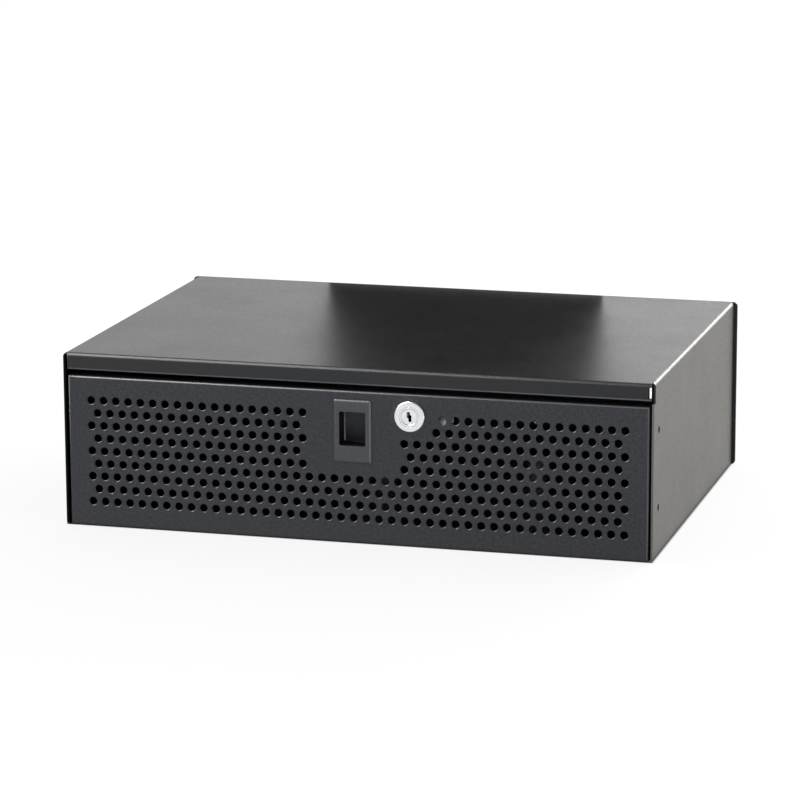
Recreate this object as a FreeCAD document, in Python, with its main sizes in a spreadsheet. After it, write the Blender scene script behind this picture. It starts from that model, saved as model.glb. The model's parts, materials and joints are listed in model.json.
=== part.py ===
import FreeCAD, Part
import math
import os
import Sketcher
from FreeCAD import Rotation, Vector

# Lockable steel box for a 19 inch rack, three units high, with a perforated drop-down door.
# Millimetres. The origin is on the surface the box stands on, below the middle of its outer box.
# +X is to the right of someone facing the door, +Y runs from the door to the rear plate, +Z is up.
# Pieces are drawn from the door's face, y = 0, and their placements move them to the origin.

doc = FreeCAD.newDocument("rack_lockbox")

# Driving dimensions
SIZES = {
    # folded cover and base
    "body_width": 443,
    "body_height": 130,
    "body_depth": 310,
    "steel_sheet": 1.5,
    "cover_bend_inside": 1.5,
    "edge_bend_inside": 0.5,
    "lip_height": 12.5,
    "lip_side_gap": 0.8,
    "lip_clear": 0.8,
    "notch_depth": 5,
    "notch_drop": 2,
    "bottom_flange": 16,
    "rear_flange": 16,
    "corner_relief": 12,
    "pan_side_fit": 0.1,
    "pan_return": 14,
    "pan_upstand": 18,
    # rear plate, its mounting holes and cable ports
    "plate_sheet": 2,
    "plate_overhang": 2.4,
    "plate_corner": 3,
    "mount_pitch_x": 127,
    "mount_pitch_z": 76.2,
    "mount_hole": 6.6,
    "port_width": 100,
    "port_height": 50,
    "port_margin": 2.5,
    "port_rise": 10,
    "port_corner": 8,
    "grommet_wall": 1.6,
    "grommet_lap": 3,
    "grommet_fit": 0.1,
    # threaded fasteners
    "screw_thread": 4,
    "screw_head": 8,
    "screw_head_height": 2.4,
    "thread_fit": 0.05,
    "rear_screw_inset": 15,
    "floor_screw_inset": 40,
    "ear_pitch": 57.15,
    "ear_back": 18,
    "ear_thread": 4,
    "ear_shank": 5.2,
    "ear_nut": 8,
    "ear_nut_height": 3,
    # perforated door
    "door_side_gap": 1.8,
    "lip_gap": 4.5,
    "door_lift": 0.7,
    "door_flange": 12,
    "foot_clear": 2.5,
    "hole_size": 6.2,
    "hole_pitch": 9.55,
    "hole_margin": 17,
    # continuous hinge
    "pin_size": 2.5,
    "pin_fit": 0.05,
    "knuckle_size": 5,
    "knuckle_pitch": 19,
    "knuckle_gap": 0.3,
    "leaf_sheet": 1,
    "door_leaf": 9.5,
    "hinge_inset": 18,
    "stop_gap": 0.35,
    # finger pull
    "pull_width": 28,
    "pull_height": 46.5,
    "pull_drop": 6.2,
    "pull_proud": 1.8,
    "pull_edge": 0.8,
    "pull_margin_side": 22,
    "pull_margin_below": 8,
    "window_width": 19.6,
    "window_height": 25,
    "window_drop": 9,
    "window_corner": 2,
    "cup_depth": 12,
    "cup_wall": 1.6,
    "cup_fit": 0.2,
    "barb_reach": 1,
    "barb_length": 4,
    "barb_height": 10,
    # cam lock
    "lock_beside": 29,
    "lock_drop": 16,
    "head_lap": 1.95,
    "lock_proud": 3,
    "lock_rim": 1,
    "lock_margin": 18,
    "barrel_size": 18.6,
    "flat_cut": 1.3,
    "barrel_length": 15,
    "barrel_fit": 0.15,
    "plug_size": 12,
    "plug_fit": 0.05,
    "plug_recess": 0.3,
    "keyway_width": 2,
    "keyway_height": 7,
    "keyway_depth": 11,
    "drive_square": 7,
    "drive_fit": 0.05,
    "wafer_count": 4,
    "wafer_first": 1.7,
    "wafer_pitch": 2.2,
    "wafer_sheet": 1,
    "wafer_width": 5,
    "wafer_recess": 0.45,
    "wafer_fit": 0.05,
    "wafer_window": 0.4,
    "washer_lap": 2.7,
    "washer_sheet": 1,
    "nut_wall": 2.2,
    "nut_height": 4,
    "cam_clear": 3,
    "cam_width": 16,
    "cam_hub": 7.5,
    "cam_corner": 3,
    "cam_sheet": 2,
    "cam_gap": 0.3,
    "cam_screw_head": 11,
    "cam_screw_edge": 0.8,
    "cam_screw_length": 8,
    # door stops
    "stop_height": 20,
    "stop_leg": 13,
    "bumper_size": 8,
    "bumper_height": 3,
    "bumper_gap": 0.3,
}

# Places worked out from them
PLACES = {
    "half_width": "dims.body_width / 2",
    "inner_half": "half_width - dims.steel_sheet",
    "cover_bend": "dims.cover_bend_inside + dims.steel_sheet",
    "edge_bend": "dims.edge_bend_inside + dims.steel_sheet",
    "lip_half": "inner_half - dims.lip_side_gap",
    "lip_bottom": "dims.body_height - dims.lip_height",
    "lip_return": "cam_front - dims.lip_clear",
    "front": "(dims.lock_proud - dims.body_depth - dims.plate_sheet - dims.screw_head_height) / 2",
    "floor_top": "2 * dims.steel_sheet",
    "plate_back": "dims.body_depth + dims.plate_sheet",
    "middle": "dims.body_height / 2",
    "port_bottom": "middle + dims.port_rise - dims.port_height / 2",
    "port_top": "middle + dims.port_rise + dims.port_height / 2",
    "port_place": "half_width - dims.rear_flange - dims.grommet_lap - dims.port_margin - dims.port_width / 2",
    "pan_half": "inner_half - dims.edge_bend_inside - dims.pan_side_fit",
    "door_half": "inner_half - dims.door_side_gap",
    "door_top": "lip_bottom - dims.lip_gap",
    "door_height": "door_top - dims.door_lift",
    "axis_y": "dims.steel_sheet + dims.knuckle_gap + dims.knuckle_size / 2",
    "axis_z": "dims.door_lift + axis_y",
    "riser": "2 * axis_y + dims.stop_gap",
    "leaf_bed": "axis_z + dims.knuckle_size / 2 - dims.leaf_sheet",
    "flange_foot": "leaf_bed + dims.leaf_sheet + dims.foot_clear",
    "pull_top": "door_top - dims.pull_drop",
    "pull_bottom": "pull_top - dims.pull_height",
    "window_top": "pull_top - dims.window_drop",
    "window_bottom": "window_top - dims.window_height",
    "cup_half": "dims.window_width / 2 + dims.cup_wall",
    "cup_top": "window_top + dims.cup_wall",
    "cup_bottom": "window_bottom - dims.cup_wall",
    "lock_x": "dims.pull_width / 2 + dims.lock_beside",
    "lock_z": "door_top - dims.lock_drop",
    "barrel_flats": "dims.barrel_size - 2 * dims.flat_cut",
    "plug_face": "dims.plug_recess - dims.lock_proud",
    "wafer_chord": "2 * sqrt((dims.plug_size / 2) ^ 2 - (dims.wafer_width / 2) ^ 2)",
    "cam_front": "dims.barrel_length + dims.cam_gap",
    "cam_back": "cam_front + dims.cam_sheet",
    "cam_reach": "dims.body_height - dims.steel_sheet - dims.cam_clear - lock_z",
    "stop_face": "dims.door_flange + dims.bumper_gap + dims.bumper_height",
    "stop_bottom": "middle - dims.stop_height / 2",
    "rear_screw_x": "half_width - dims.rear_flange / 2 - dims.cover_bend_inside / 2",
    "floor_screw_x": "half_width - dims.bottom_flange / 2 - dims.edge_bend_inside / 2",
    "upstand_screw_z": "floor_top + dims.pan_upstand / 2",
    "tapped": "dims.screw_thread + 2 * dims.thread_fit",
}


def fill_sheet(name, cells):
    sheet = doc.addObject("Spreadsheet::Sheet", name)
    for row, alias in enumerate(cells, 1):
        sheet.set(f"A{row}", alias)
        sheet.setAlias(f"B{row}", alias)
    for row, content in enumerate(cells.values(), 1):
        sheet.set(f"B{row}", content)
    return sheet


dims = fill_sheet("dims", {alias: str(size) for alias, size in SIZES.items()})
places = fill_sheet("places", {alias: "=" + formula for alias, formula in PLACES.items()})
doc.recompute()


def number(expression):
    return float(dims.evalExpression(expression))


# Sketches and the features made from them

SENSE = {"XY_Plane": 1, "XZ_Plane": -1, "YZ_Plane": 1}


def new_sketch(body, name, plane, at):
    sketch = body.newObject("Sketcher::SketchObject", name)
    support = next(feature for feature in body.Origin.OriginFeatures if feature.Role == plane)
    sketch.AttachmentSupport = [(support, "")]
    sketch.MapMode = "FlatFace"
    sketch.setExpression("AttachmentOffset.Base.z", f"{SENSE[plane]} * ({at})")
    return sketch


def bind(sketch, constraint, expression):
    sketch.setExpression(f"Constraints[{sketch.addConstraint(constraint)}]", expression)


# A right-angled outline: its lines in order, each (axis, place, radius of the corner after it)
def draw_outline(sketch, path):
    count = len(path)
    spots = [number(place) for _, place, _ in path]
    radii = [number(radius) if radius else 0 for _, _, radius in path]
    corners = []
    for k, (axis, _, _) in enumerate(path):
        after = spots[(k + 1) % count]
        corners.append(Vector(spots[k], after) if axis == "x" else Vector(after, spots[k]))
    runs = [(corners[k] - corners[k - 1]).normalize() for k in range(count)]
    lines = []
    for k, (axis, place, _) in enumerate(path):
        start = corners[k - 1] + runs[k] * radii[k - 1]
        end = corners[k] - runs[k] * radii[k]
        lines.append(sketch.addGeometry(Part.LineSegment(start, end)))
        sketch.addConstraint(Sketcher.Constraint("Vertical" if axis == "x" else "Horizontal", lines[k]))
        distance = "DistanceX" if axis == "x" else "DistanceY"
        bind(sketch, Sketcher.Constraint(distance, -1, 1, lines[k], 1, spots[k]), place)
    for k, (_, _, radius) in enumerate(path):
        after = (k + 1) % count
        if not radius:
            sketch.addConstraint(Sketcher.Constraint("Coincident", lines[k], 2, lines[after], 1))
            continue
        centre = corners[k] + (runs[after] - runs[k]) * radii[k]
        left_turn = runs[k].cross(runs[after]).z > 0
        out = -runs[after] if left_turn else runs[k]
        begin = math.atan2(out.y, out.x)
        circle = Part.Circle(centre, Vector(0, 0, 1), radii[k])
        arc = sketch.addGeometry(Part.ArcOfCircle(circle, begin, begin + math.pi / 2))
        first, last = (1, 2) if left_turn else (2, 1)
        sketch.addConstraint(Sketcher.Constraint("Tangent", lines[k], 2, arc, first))
        sketch.addConstraint(Sketcher.Constraint("Tangent", lines[after], 1, arc, last))
        bind(sketch, Sketcher.Constraint("Radius", arc, radii[k]), radius)


def draw_circle(sketch, across, along, size):
    centre = Vector(number(across), number(along))
    circle = sketch.addGeometry(Part.Circle(centre, Vector(0, 0, 1), number(size) / 2))
    bind(sketch, Sketcher.Constraint("DistanceX", -1, 1, circle, 3, centre.x), across)
    bind(sketch, Sketcher.Constraint("DistanceY", -1, 1, circle, 3, centre.y), along)
    bind(sketch, Sketcher.Constraint("Diameter", circle, number(size)), size)


def box_outline(left, right, low, high, radius=None):
    return [("x", left, radius), ("y", high, radius), ("x", right, radius), ("y", low, radius)]


def draw(body, name, plane, at, outlines, circles):
    sketch = new_sketch(body, name, plane, at)
    for path in outlines:
        draw_outline(sketch, path)
    for across, along, size in circles:
        draw_circle(sketch, across, along, size)
    return sketch


# toward is 1 or -1 along the plane's axis, and 0 goes half the length each way
def extrude(kind, body, name, plane, at, length, outlines=(), circles=(), toward=1):
    sketch = draw(body, name + "_sketch", plane, at, outlines, circles)
    feature = body.newObject("PartDesign::" + kind, name)
    feature.Profile = sketch
    feature.SideType = "One side" if toward else "Symmetric"
    along_normal = toward * SENSE[plane] > 0
    feature.Reversed = bool(toward) and along_normal == (kind == "Pocket")
    feature.setExpression("Length", length)
    return feature


def pad(body, name, plane, at, length, outlines=(), circles=(), toward=1):
    return extrude("Pad", body, name, plane, at, length, outlines, circles, toward)


def pocket(body, name, plane, at, length, outlines=(), circles=(), toward=1):
    doc.recompute()
    before = body.Tip.Shape.Volume
    feature = extrude("Pocket", body, name, plane, at, length, outlines, circles, toward)
    doc.recompute()
    if not feature.Shape.Volume < before:
        raise RuntimeError(f"{name} in {body.Label} cuts nothing")
    return feature


def revolve(body, name, path):
    sketch = draw(body, name + "_sketch", "XY_Plane", "0", [path], ())
    feature = body.newObject("PartDesign::Revolution", name)
    feature.Profile = sketch
    feature.ReferenceAxis = (sketch, ["V_Axis"])
    return feature


def round_edges(body, name, radius, wanted):
    doc.recompute()
    base = body.Tip
    edges = [f"Edge{index}" for index, edge in enumerate(base.Shape.Edges, 1) if wanted(edge.BoundBox)]
    fillet = body.newObject("PartDesign::Fillet", name)
    fillet.Base = (base, edges)
    fillet.setExpression("Radius", radius)


# Sub-parts, each labelled with its node's name and placed from the origin

nodes = []


def place(piece, label, x="0", y="places.front", z="0"):
    piece.Label = label
    for axis, expression in zip("xyz", (x, y, z)):
        piece.setExpression(f"Placement.Base.{axis}", expression)
    nodes.append(piece)
    return piece


def new_body(label, **where):
    return place(doc.addObject("PartDesign::Body", label), label, **where)


def new_shape(label, shape, **where):
    piece = doc.addObject("Part::Feature", label)
    piece.Shape = shape
    return place(piece, label, **where)


def near(value, target):
    return abs(value - target) < 0.001


# Solid of revolution about +Y from radius and height pairs
def turned(*profile):
    points = [Vector(radius, height, 0) for radius, height in profile]
    face = Part.Face(Part.makePolygon(points + points[:1]))
    return face.revolve(Vector(), Vector(0, 1, 0), 360)


def block(x0, x1, y0, y1, z0, z1):
    return Part.makeBox(x1 - x0, y1 - y0, z1 - z0, Vector(x0, y0, z0))


def rod(size, length, start, direction):
    return Part.makeCylinder(size / 2, length, start, direction)


def moved(shape, spot, turn=Rotation()):
    return shape.transformed(FreeCAD.Placement(Vector(*spot), turn).toMatrix())


# Where the threaded fasteners go, as pairs of formulas

side_screw_spots = [
    (f"{side} * places.rear_screw_x", z)
    for side in (1, -1)
    for z in ("dims.corner_relief + dims.rear_screw_inset", "places.middle",
              "dims.body_height - dims.corner_relief - dims.rear_screw_inset")]
upstand_screw_spots = [(f"{side} * places.port_place", "places.upstand_screw_z") for side in (1, -1)]
floor_screw_spots = [
    (f"{side} * places.floor_screw_x", y)
    for side in (1, -1)
    for y in ("dims.floor_screw_inset", "dims.body_depth / 2", "dims.body_depth - dims.floor_screw_inset")]


# Outer cover: one sheet folded into top and sides, with a boxed lip over the door

def make_outer_cover():
    cover = new_body("outer_cover")
    pad(cover, "shell", "XZ_Plane", "0", "dims.body_depth", [[
        ("x", "-places.half_width", "places.cover_bend"),
        ("y", "dims.body_height", "places.cover_bend"),
        ("x", "places.half_width", "places.edge_bend"),
        ("y", "0", None),
        ("x", "places.half_width - dims.bottom_flange", None),
        ("y", "dims.steel_sheet", "dims.edge_bend_inside"),
        ("x", "places.inner_half", "dims.cover_bend_inside"),
        ("y", "dims.body_height - dims.steel_sheet", "dims.cover_bend_inside"),
        ("x", "-places.inner_half", "dims.edge_bend_inside"),
        ("y", "dims.steel_sheet", None),
        ("x", "dims.bottom_flange - places.half_width", None),
        ("y", "0", "places.edge_bend"),
    ]])
    # the right wall is cut back beside the lip, the left one runs past it
    pocket(cover, "front_notch", "YZ_Plane", "-places.inner_half", "2 * dims.body_width", [
        box_outline("-dims.notch_depth", "dims.notch_depth",
                    "places.lip_bottom - dims.notch_drop", "2 * dims.body_height")])
    pocket(cover, "flange_clearance", "XY_Plane", "0", "places.cover_bend", [
        box_outline("-places.inner_half", "places.inner_half", "-dims.notch_depth", "places.riser")])
    pad(cover, "lip", "YZ_Plane", "0", "2 * places.lip_half", [[
        ("x", "0", "places.cover_bend"),
        ("y", "dims.body_height", None),
        ("x", "2 * dims.notch_depth", None),
        ("y", "dims.body_height - dims.steel_sheet", "dims.cover_bend_inside"),
        ("x", "dims.steel_sheet", "dims.edge_bend_inside"),
        ("y", "places.lip_bottom + dims.steel_sheet", None),
        ("x", "places.lip_return", None),
        ("y", "places.lip_bottom", "places.edge_bend"),
    ]], toward=0)
    end_cap = [
        ("x", "0", "places.cover_bend"),
        ("y", "dims.body_height", None),
        ("x", "places.lip_return", None),
        ("y", "places.lip_bottom", "places.edge_bend"),
    ]
    pad(cover, "lip_end_right", "YZ_Plane", "places.lip_half", "dims.steel_sheet", [end_cap], toward=-1)
    pad(cover, "lip_end_left", "YZ_Plane", "-places.lip_half", "dims.steel_sheet", [end_cap])

    for side, name in (("1", "right"), ("-1", "left")):
        pocket(cover, f"lip_corner_{name}", "XY_Plane", "places.lip_bottom", "dims.lip_height", [[
            ("y", "-places.cover_bend", None),
            ("x", f"{side} * places.inner_half", None),
            ("y", "places.cover_bend", None),
            ("x", f"{side} * places.lip_half", "places.edge_bend"),
            ("y", "0", None),
            ("x", f"{side} * (places.lip_half - places.cover_bend)", None),
        ]])
        pocket(cover, f"rear_corner_{name}", "XY_Plane", "dims.corner_relief",
               "dims.body_height - 2 * dims.corner_relief", [
                   box_outline(f"{side} * (places.half_width - places.cover_bend)",
                               f"{side} * (places.half_width + places.cover_bend)",
                               "dims.body_depth - places.cover_bend", "dims.body_depth + places.cover_bend")])
        pad(cover, f"rear_flange_{name}", "XY_Plane", "dims.corner_relief",
            "dims.body_height - 2 * dims.corner_relief", [[
                ("x", f"{side} * places.half_width", "places.cover_bend"),
                ("y", "dims.body_depth", None),
                ("x", f"{side} * (places.half_width - dims.rear_flange)", None),
                ("y", "dims.body_depth - dims.steel_sheet", "dims.cover_bend_inside"),
                ("x", f"{side} * places.inner_half", None),
                ("y", "dims.body_depth - 2 * places.cover_bend", None),
            ]])
    pocket(cover, "ear_holes", "YZ_Plane", "0", "2 * dims.body_width", circles=[
        ("dims.ear_back", f"places.middle + {side} * dims.ear_pitch / 2", "dims.ear_shank")
        for side in (1, -1)], toward=0)
    pocket(cover, "rear_taps", "XZ_Plane", "dims.body_depth", "2 * dims.steel_sheet",
           circles=[(x, z, "places.tapped") for x, z in side_screw_spots], toward=-1)
    pocket(cover, "floor_taps", "XY_Plane", "0", "dims.steel_sheet",
           circles=[(x, y, "places.tapped") for x, y in floor_screw_spots])


# Base: floor with a folded channel in front, which carries the hinge, and an upstand behind

def make_base_pan():
    pan = new_body("base_pan")
    pad(pan, "floor", "YZ_Plane", "0", "2 * places.pan_half", [[
        ("x", "places.riser", None),
        ("y", "places.leaf_bed", None),
        ("x", "places.riser + dims.pan_return", None),
        ("y", "places.leaf_bed - dims.steel_sheet", None),
        ("x", "places.riser + dims.steel_sheet", None),
        ("y", "places.floor_top", None),
        ("x", "dims.body_depth - dims.steel_sheet", None),
        ("y", "places.floor_top + dims.pan_upstand", None),
        ("x", "dims.body_depth", "places.edge_bend"),
        ("y", "dims.steel_sheet", None),
    ]], toward=0)
    flange_room = "places.half_width - dims.rear_flange - places.cover_bend"
    flange_foot = "dims.corner_relief - places.cover_bend"
    pocket(pan, "upstand_corners", "XZ_Plane", "dims.body_depth", "places.cover_bend", [
        box_outline(f"{side} * ({flange_room})", f"{side} * places.half_width", flange_foot, "places.middle")
        for side in (1, -1)], toward=-1)
    pocket(pan, "upstand_taps", "XZ_Plane", "dims.body_depth", "2 * dims.steel_sheet",
           circles=[(x, z, "places.tapped") for x, z in upstand_screw_spots], toward=-1)
    pocket(pan, "floor_holes", "XY_Plane", "0", "places.floor_top",
           circles=[(x, y, "places.tapped") for x, y in floor_screw_spots])


# Rear plate: the face the box is mounted by, with a cable port on each side

def make_rear_plate():
    plate = new_body("rear_plate")
    half = "places.half_width + dims.plate_overhang"
    pad(plate, "blank", "XZ_Plane", "dims.body_depth", "dims.plate_sheet", [
        box_outline(f"-({half})", half, "0", "dims.body_height", "dims.plate_corner")])
    pocket(plate, "ports", "XZ_Plane", "dims.body_depth", "dims.plate_sheet", [
        box_outline(f"{side} * places.port_place - dims.port_width / 2",
                    f"{side} * places.port_place + dims.port_width / 2",
                    "places.port_bottom", "places.port_top", "dims.port_corner") for side in (1, -1)])
    pocket(plate, "mount_holes", "XZ_Plane", "dims.body_depth", "dims.plate_sheet", circles=[
        (f"{side} * dims.mount_pitch_x / 2", f"places.middle + {rise} * dims.mount_pitch_z / 2",
         "dims.mount_hole") for side in (1, -1) for rise in (1, -1)])
    pocket(plate, "screw_holes", "XZ_Plane", "dims.body_depth", "dims.plate_sheet", circles=[
        (x, z, "places.tapped") for x, z in side_screw_spots + upstand_screw_spots])


def port_ring(side, grow, inset):
    return [box_outline(f"{side} * places.port_place - dims.port_width / 2 - ({spread})",
                        f"{side} * places.port_place + dims.port_width / 2 + ({spread})",
                        f"places.port_bottom - ({spread})", f"places.port_top + ({spread})",
                        f"dims.port_corner + {spread}") for spread in (grow, inset)]


def make_cable_grommet(label, side):
    grommet = new_body(label)
    inside = "-(dims.grommet_fit + dims.grommet_wall)"
    pad(grommet, "web", "XZ_Plane", "dims.body_depth", "dims.plate_sheet",
        port_ring(side, "-dims.grommet_fit", inside))
    pad(grommet, "front_lap", "XZ_Plane", "dims.body_depth", "dims.grommet_wall",
        port_ring(side, "dims.grommet_lap", inside), toward=-1)
    pad(grommet, "rear_lap", "XZ_Plane", "places.plate_back", "dims.grommet_wall",
        port_ring(side, "dims.grommet_lap", inside))


# Fasteners: head at the origin facing -Y, shank along +Y

def headed_screw(thread, head, head_height, length):
    dome = head_height / 3
    return turned((0, -head_height), (head / 2 - dome, -head_height), (head / 2, -head_height + dome),
                  (head / 2, 0), (thread / 2, 0), (thread / 2, length), (0, length))


def make_screws():
    length = dims.plate_sheet + dims.steel_sheet
    screw = headed_screw(dims.screw_thread, dims.screw_head, dims.screw_head_height, length)
    forward = Rotation(Vector(0, 0, 1), 180)
    spots = [(number(x), places.plate_back, number(z)) for x, z in side_screw_spots + upstand_screw_spots]
    new_shape("rear_screws", Part.makeCompound([moved(screw, spot, forward) for spot in spots]))
    screw = headed_screw(dims.screw_thread, dims.screw_head, dims.screw_head_height, places.floor_top)
    down = Rotation(Vector(1, 0, 0), -90)
    spots = [(number(x), number(y), places.floor_top) for x, y in floor_screw_spots]
    new_shape("floor_screws", Part.makeCompound([moved(screw, spot, down) for spot in spots]))


def make_ear_nuts():
    bore = dims.ear_thread / 2
    shank = dims.ear_shank / 2 - dims.thread_fit
    nut = turned((bore, 0), (shank, 0), (shank, dims.steel_sheet), (dims.ear_nut / 2, dims.steel_sheet),
                 (dims.ear_nut / 2, dims.steel_sheet + dims.ear_nut_height),
                 (bore, dims.steel_sheet + dims.ear_nut_height))
    nuts = []
    for side in (1, -1):
        for rise in (1, -1):
            spot = (side * places.half_width, dims.ear_back, places.middle + rise * dims.ear_pitch / 2)
            nuts.append(moved(nut, spot, Rotation(Vector(0, 0, 1), side * 90)))
    new_shape("ear_nuts", Part.makeCompound(nuts))


# Door: a sheet folded back at the top and sides, then punched

def hole_spots():
    across = 2 * (places.door_half - dims.hole_margin)
    columns = int(across / dims.hole_pitch) + 1
    rows = int((places.door_height - 2 * dims.hole_margin) / dims.hole_pitch) + 1
    top = (places.door_top + dims.door_lift + (rows - 1) * dims.hole_pitch) / 2
    for row in range(rows):
        z = top - row * dims.hole_pitch
        in_row = columns - row % 2
        for column in range(in_row):
            x = (column - (in_row - 1) / 2) * dims.hole_pitch
            beside_pull = abs(x) < dims.pull_width / 2 + dims.pull_margin_side
            above_foot = z > places.pull_bottom - dims.pull_margin_below
            by_lock = math.hypot(x - places.lock_x, z - places.lock_z) < dims.lock_margin
            if not (beside_pull and above_foot or by_lock):
                yield x, z


def make_door_panel():
    blank = doc.addObject("PartDesign::Body", "door_blank")
    pad(blank, "tray", "XZ_Plane", "0", "dims.door_flange", [
        box_outline("-places.door_half", "places.door_half", "dims.door_lift", "places.door_top")])

    def folded_edge(box):
        on_face = near(box.YMax, 0) and near(box.YMin, 0)
        return on_face and box.ZMax > dims.door_lift + 1

    round_edges(blank, "folds", "places.edge_bend", folded_edge)
    pocket(blank, "hollow", "XZ_Plane", "dims.door_flange", "dims.door_flange - dims.steel_sheet", [
        box_outline("dims.steel_sheet - places.door_half", "places.door_half - dims.steel_sheet",
                    "-dims.body_height", "places.door_top - dims.steel_sheet")], toward=-1)
    pocket(blank, "flange_feet", "YZ_Plane", "0", "2 * dims.body_width", [
        box_outline("dims.steel_sheet", "2 * dims.door_flange", "-dims.body_height", "places.flange_foot")],
        toward=0)
    ahead, behind = -dims.steel_sheet, 2 * dims.steel_sheet
    along = Vector(0, 1, 0)
    punches = [rod(dims.hole_size, behind - ahead, Vector(x, ahead, z), along) for x, z in hole_spots()]
    barrel_hole = dims.barrel_size / 2 + dims.barrel_fit
    flats = places.barrel_flats / 2 + dims.barrel_fit
    lock_punch = rod(2 * barrel_hole, behind - ahead, Vector(places.lock_x, ahead, places.lock_z), along)
    punches.append(lock_punch.common(block(
        places.lock_x - flats, places.lock_x + flats, ahead, behind,
        places.lock_z - barrel_hole, places.lock_z + barrel_hole)))
    punches.append(block(
        -places.cup_half - dims.cup_fit, places.cup_half + dims.cup_fit, ahead, behind,
        places.cup_bottom - dims.cup_fit, places.cup_top + dims.cup_fit))
    tool = doc.addObject("Part::Feature", "door_punch")
    tool.Shape = Part.makeCompound(punches)
    door = doc.addObject("Part::Cut", "door_panel")
    door.Base = blank
    door.Tool = tool
    place(door, "door_panel")


# Hinge: two leaves with knuckles in turn on one pin. The body's leaf has the first and last knuckle.

def make_hinge():
    half = places.door_half - dims.hinge_inset
    count = int(2 * half / dims.knuckle_pitch) // 2 * 2 - 1
    first = -count * dims.knuckle_pitch / 2
    radius = dims.knuckle_size / 2
    y, z = places.axis_y, places.axis_z
    clear = radius + dims.knuckle_gap
    leaf_y = (dims.steel_sheet, dims.steel_sheet + dims.leaf_sheet)
    leaf_z = (places.leaf_bed, places.leaf_bed + dims.leaf_sheet)
    far = places.riser + dims.pan_return
    along = Vector(1, 0, 0)
    bore = dims.pin_size + 2 * dims.pin_fit
    door_leaf = [block(first, -first, *leaf_y, z + clear, z + dims.door_leaf)]
    body_leaf = [block(first, -first, y + clear, far, *leaf_z)]
    for index in range(count):
        x0 = first + index * dims.knuckle_pitch + dims.knuckle_gap / 2
        x1 = x0 + dims.knuckle_pitch - dims.knuckle_gap
        knuckle = rod(dims.knuckle_size, x1 - x0, Vector(x0, y, z), along)
        if index % 2:
            door_leaf += [knuckle, block(x0, x1, *leaf_y, z, z + clear)]
        else:
            body_leaf += [knuckle, block(x0, x1, y, y + clear, *leaf_z)]
    hole = rod(bore, -2 * first, Vector(first, y, z), along)
    for label, pieces in (("hinge_leaf_door", door_leaf), ("hinge_leaf_body", body_leaf)):
        new_shape(label, pieces[0].fuse(pieces[1:]).cut(hole).removeSplitter())
    pin = doc.addObject("Part::Cylinder", "hinge_pin")
    pin.setExpression("Radius", "dims.pin_size / 2")
    pin.Height = -2 * first
    pin.Placement.Rotation = Rotation(Vector(0, 1, 0), 90)
    place(pin, "hinge_pin", x=str(first), y="places.front + places.axis_y", z="places.axis_z")


# Finger pull: a bezel on the door's face and a cup that snaps through it

def make_finger_pull():
    pull = new_body("finger_pull")
    half = "dims.pull_width / 2"
    pad(pull, "bezel", "XZ_Plane", "0", "dims.pull_proud", [
        box_outline(f"-{half}", half, "places.pull_bottom", "places.pull_top", "dims.pull_edge")], toward=-1)
    round_edges(pull, "bezel_edge", "dims.pull_edge",
                lambda box: near(box.YMax, -dims.pull_proud))
    pad(pull, "cup", "XZ_Plane", "0", "dims.cup_depth + dims.cup_wall", [
        box_outline("-places.cup_half", "places.cup_half", "places.cup_bottom", "places.cup_top",
                    "dims.window_corner")])
    pocket(pull, "window", "XZ_Plane", "-2 * dims.pull_proud", "2 * dims.pull_proud + dims.cup_depth", [
        box_outline("-dims.window_width / 2", "dims.window_width / 2",
                    "places.window_bottom", "places.window_top", "dims.window_corner / 2")])
    middle = "(places.cup_top + places.cup_bottom) / 2"
    for side, name in (("1", "right"), ("-1", "left")):
        pad(pull, f"barb_{name}", "XZ_Plane", "dims.steel_sheet + dims.cup_fit", "dims.barb_length", [
            box_outline(f"{side} * (places.cup_half - dims.cup_wall / 2)",
                        f"{side} * (places.cup_half + dims.barb_reach)",
                        f"{middle} - dims.barb_height / 2", f"{middle} + dims.barb_height / 2")])


# Cam lock, drawn about its own axis

lock_axis = {"x": "places.lock_x", "z": "places.lock_z"}


def make_lock_body():
    body = new_body("lock_body", **lock_axis)
    revolve(body, "housing", [
        ("x", "dims.plug_size / 2 + dims.plug_fit", None),
        ("y", "dims.barrel_length", None),
        ("x", "dims.barrel_size / 2", None),
        ("y", "0", None),
        ("x", "dims.barrel_size / 2 + dims.head_lap", "dims.lock_rim"),
        ("y", "-dims.lock_proud", None),
    ])
    pocket(body, "flats", "XZ_Plane", "0", "dims.barrel_length", [
        box_outline(f"{side} * places.barrel_flats / 2", f"{side} * dims.barrel_size",
                    "-dims.barrel_size", "dims.barrel_size") for side in (1, -1)])


def wafer_start(index):
    return f"places.plug_face + dims.wafer_first + {index} * dims.wafer_pitch"


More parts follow.
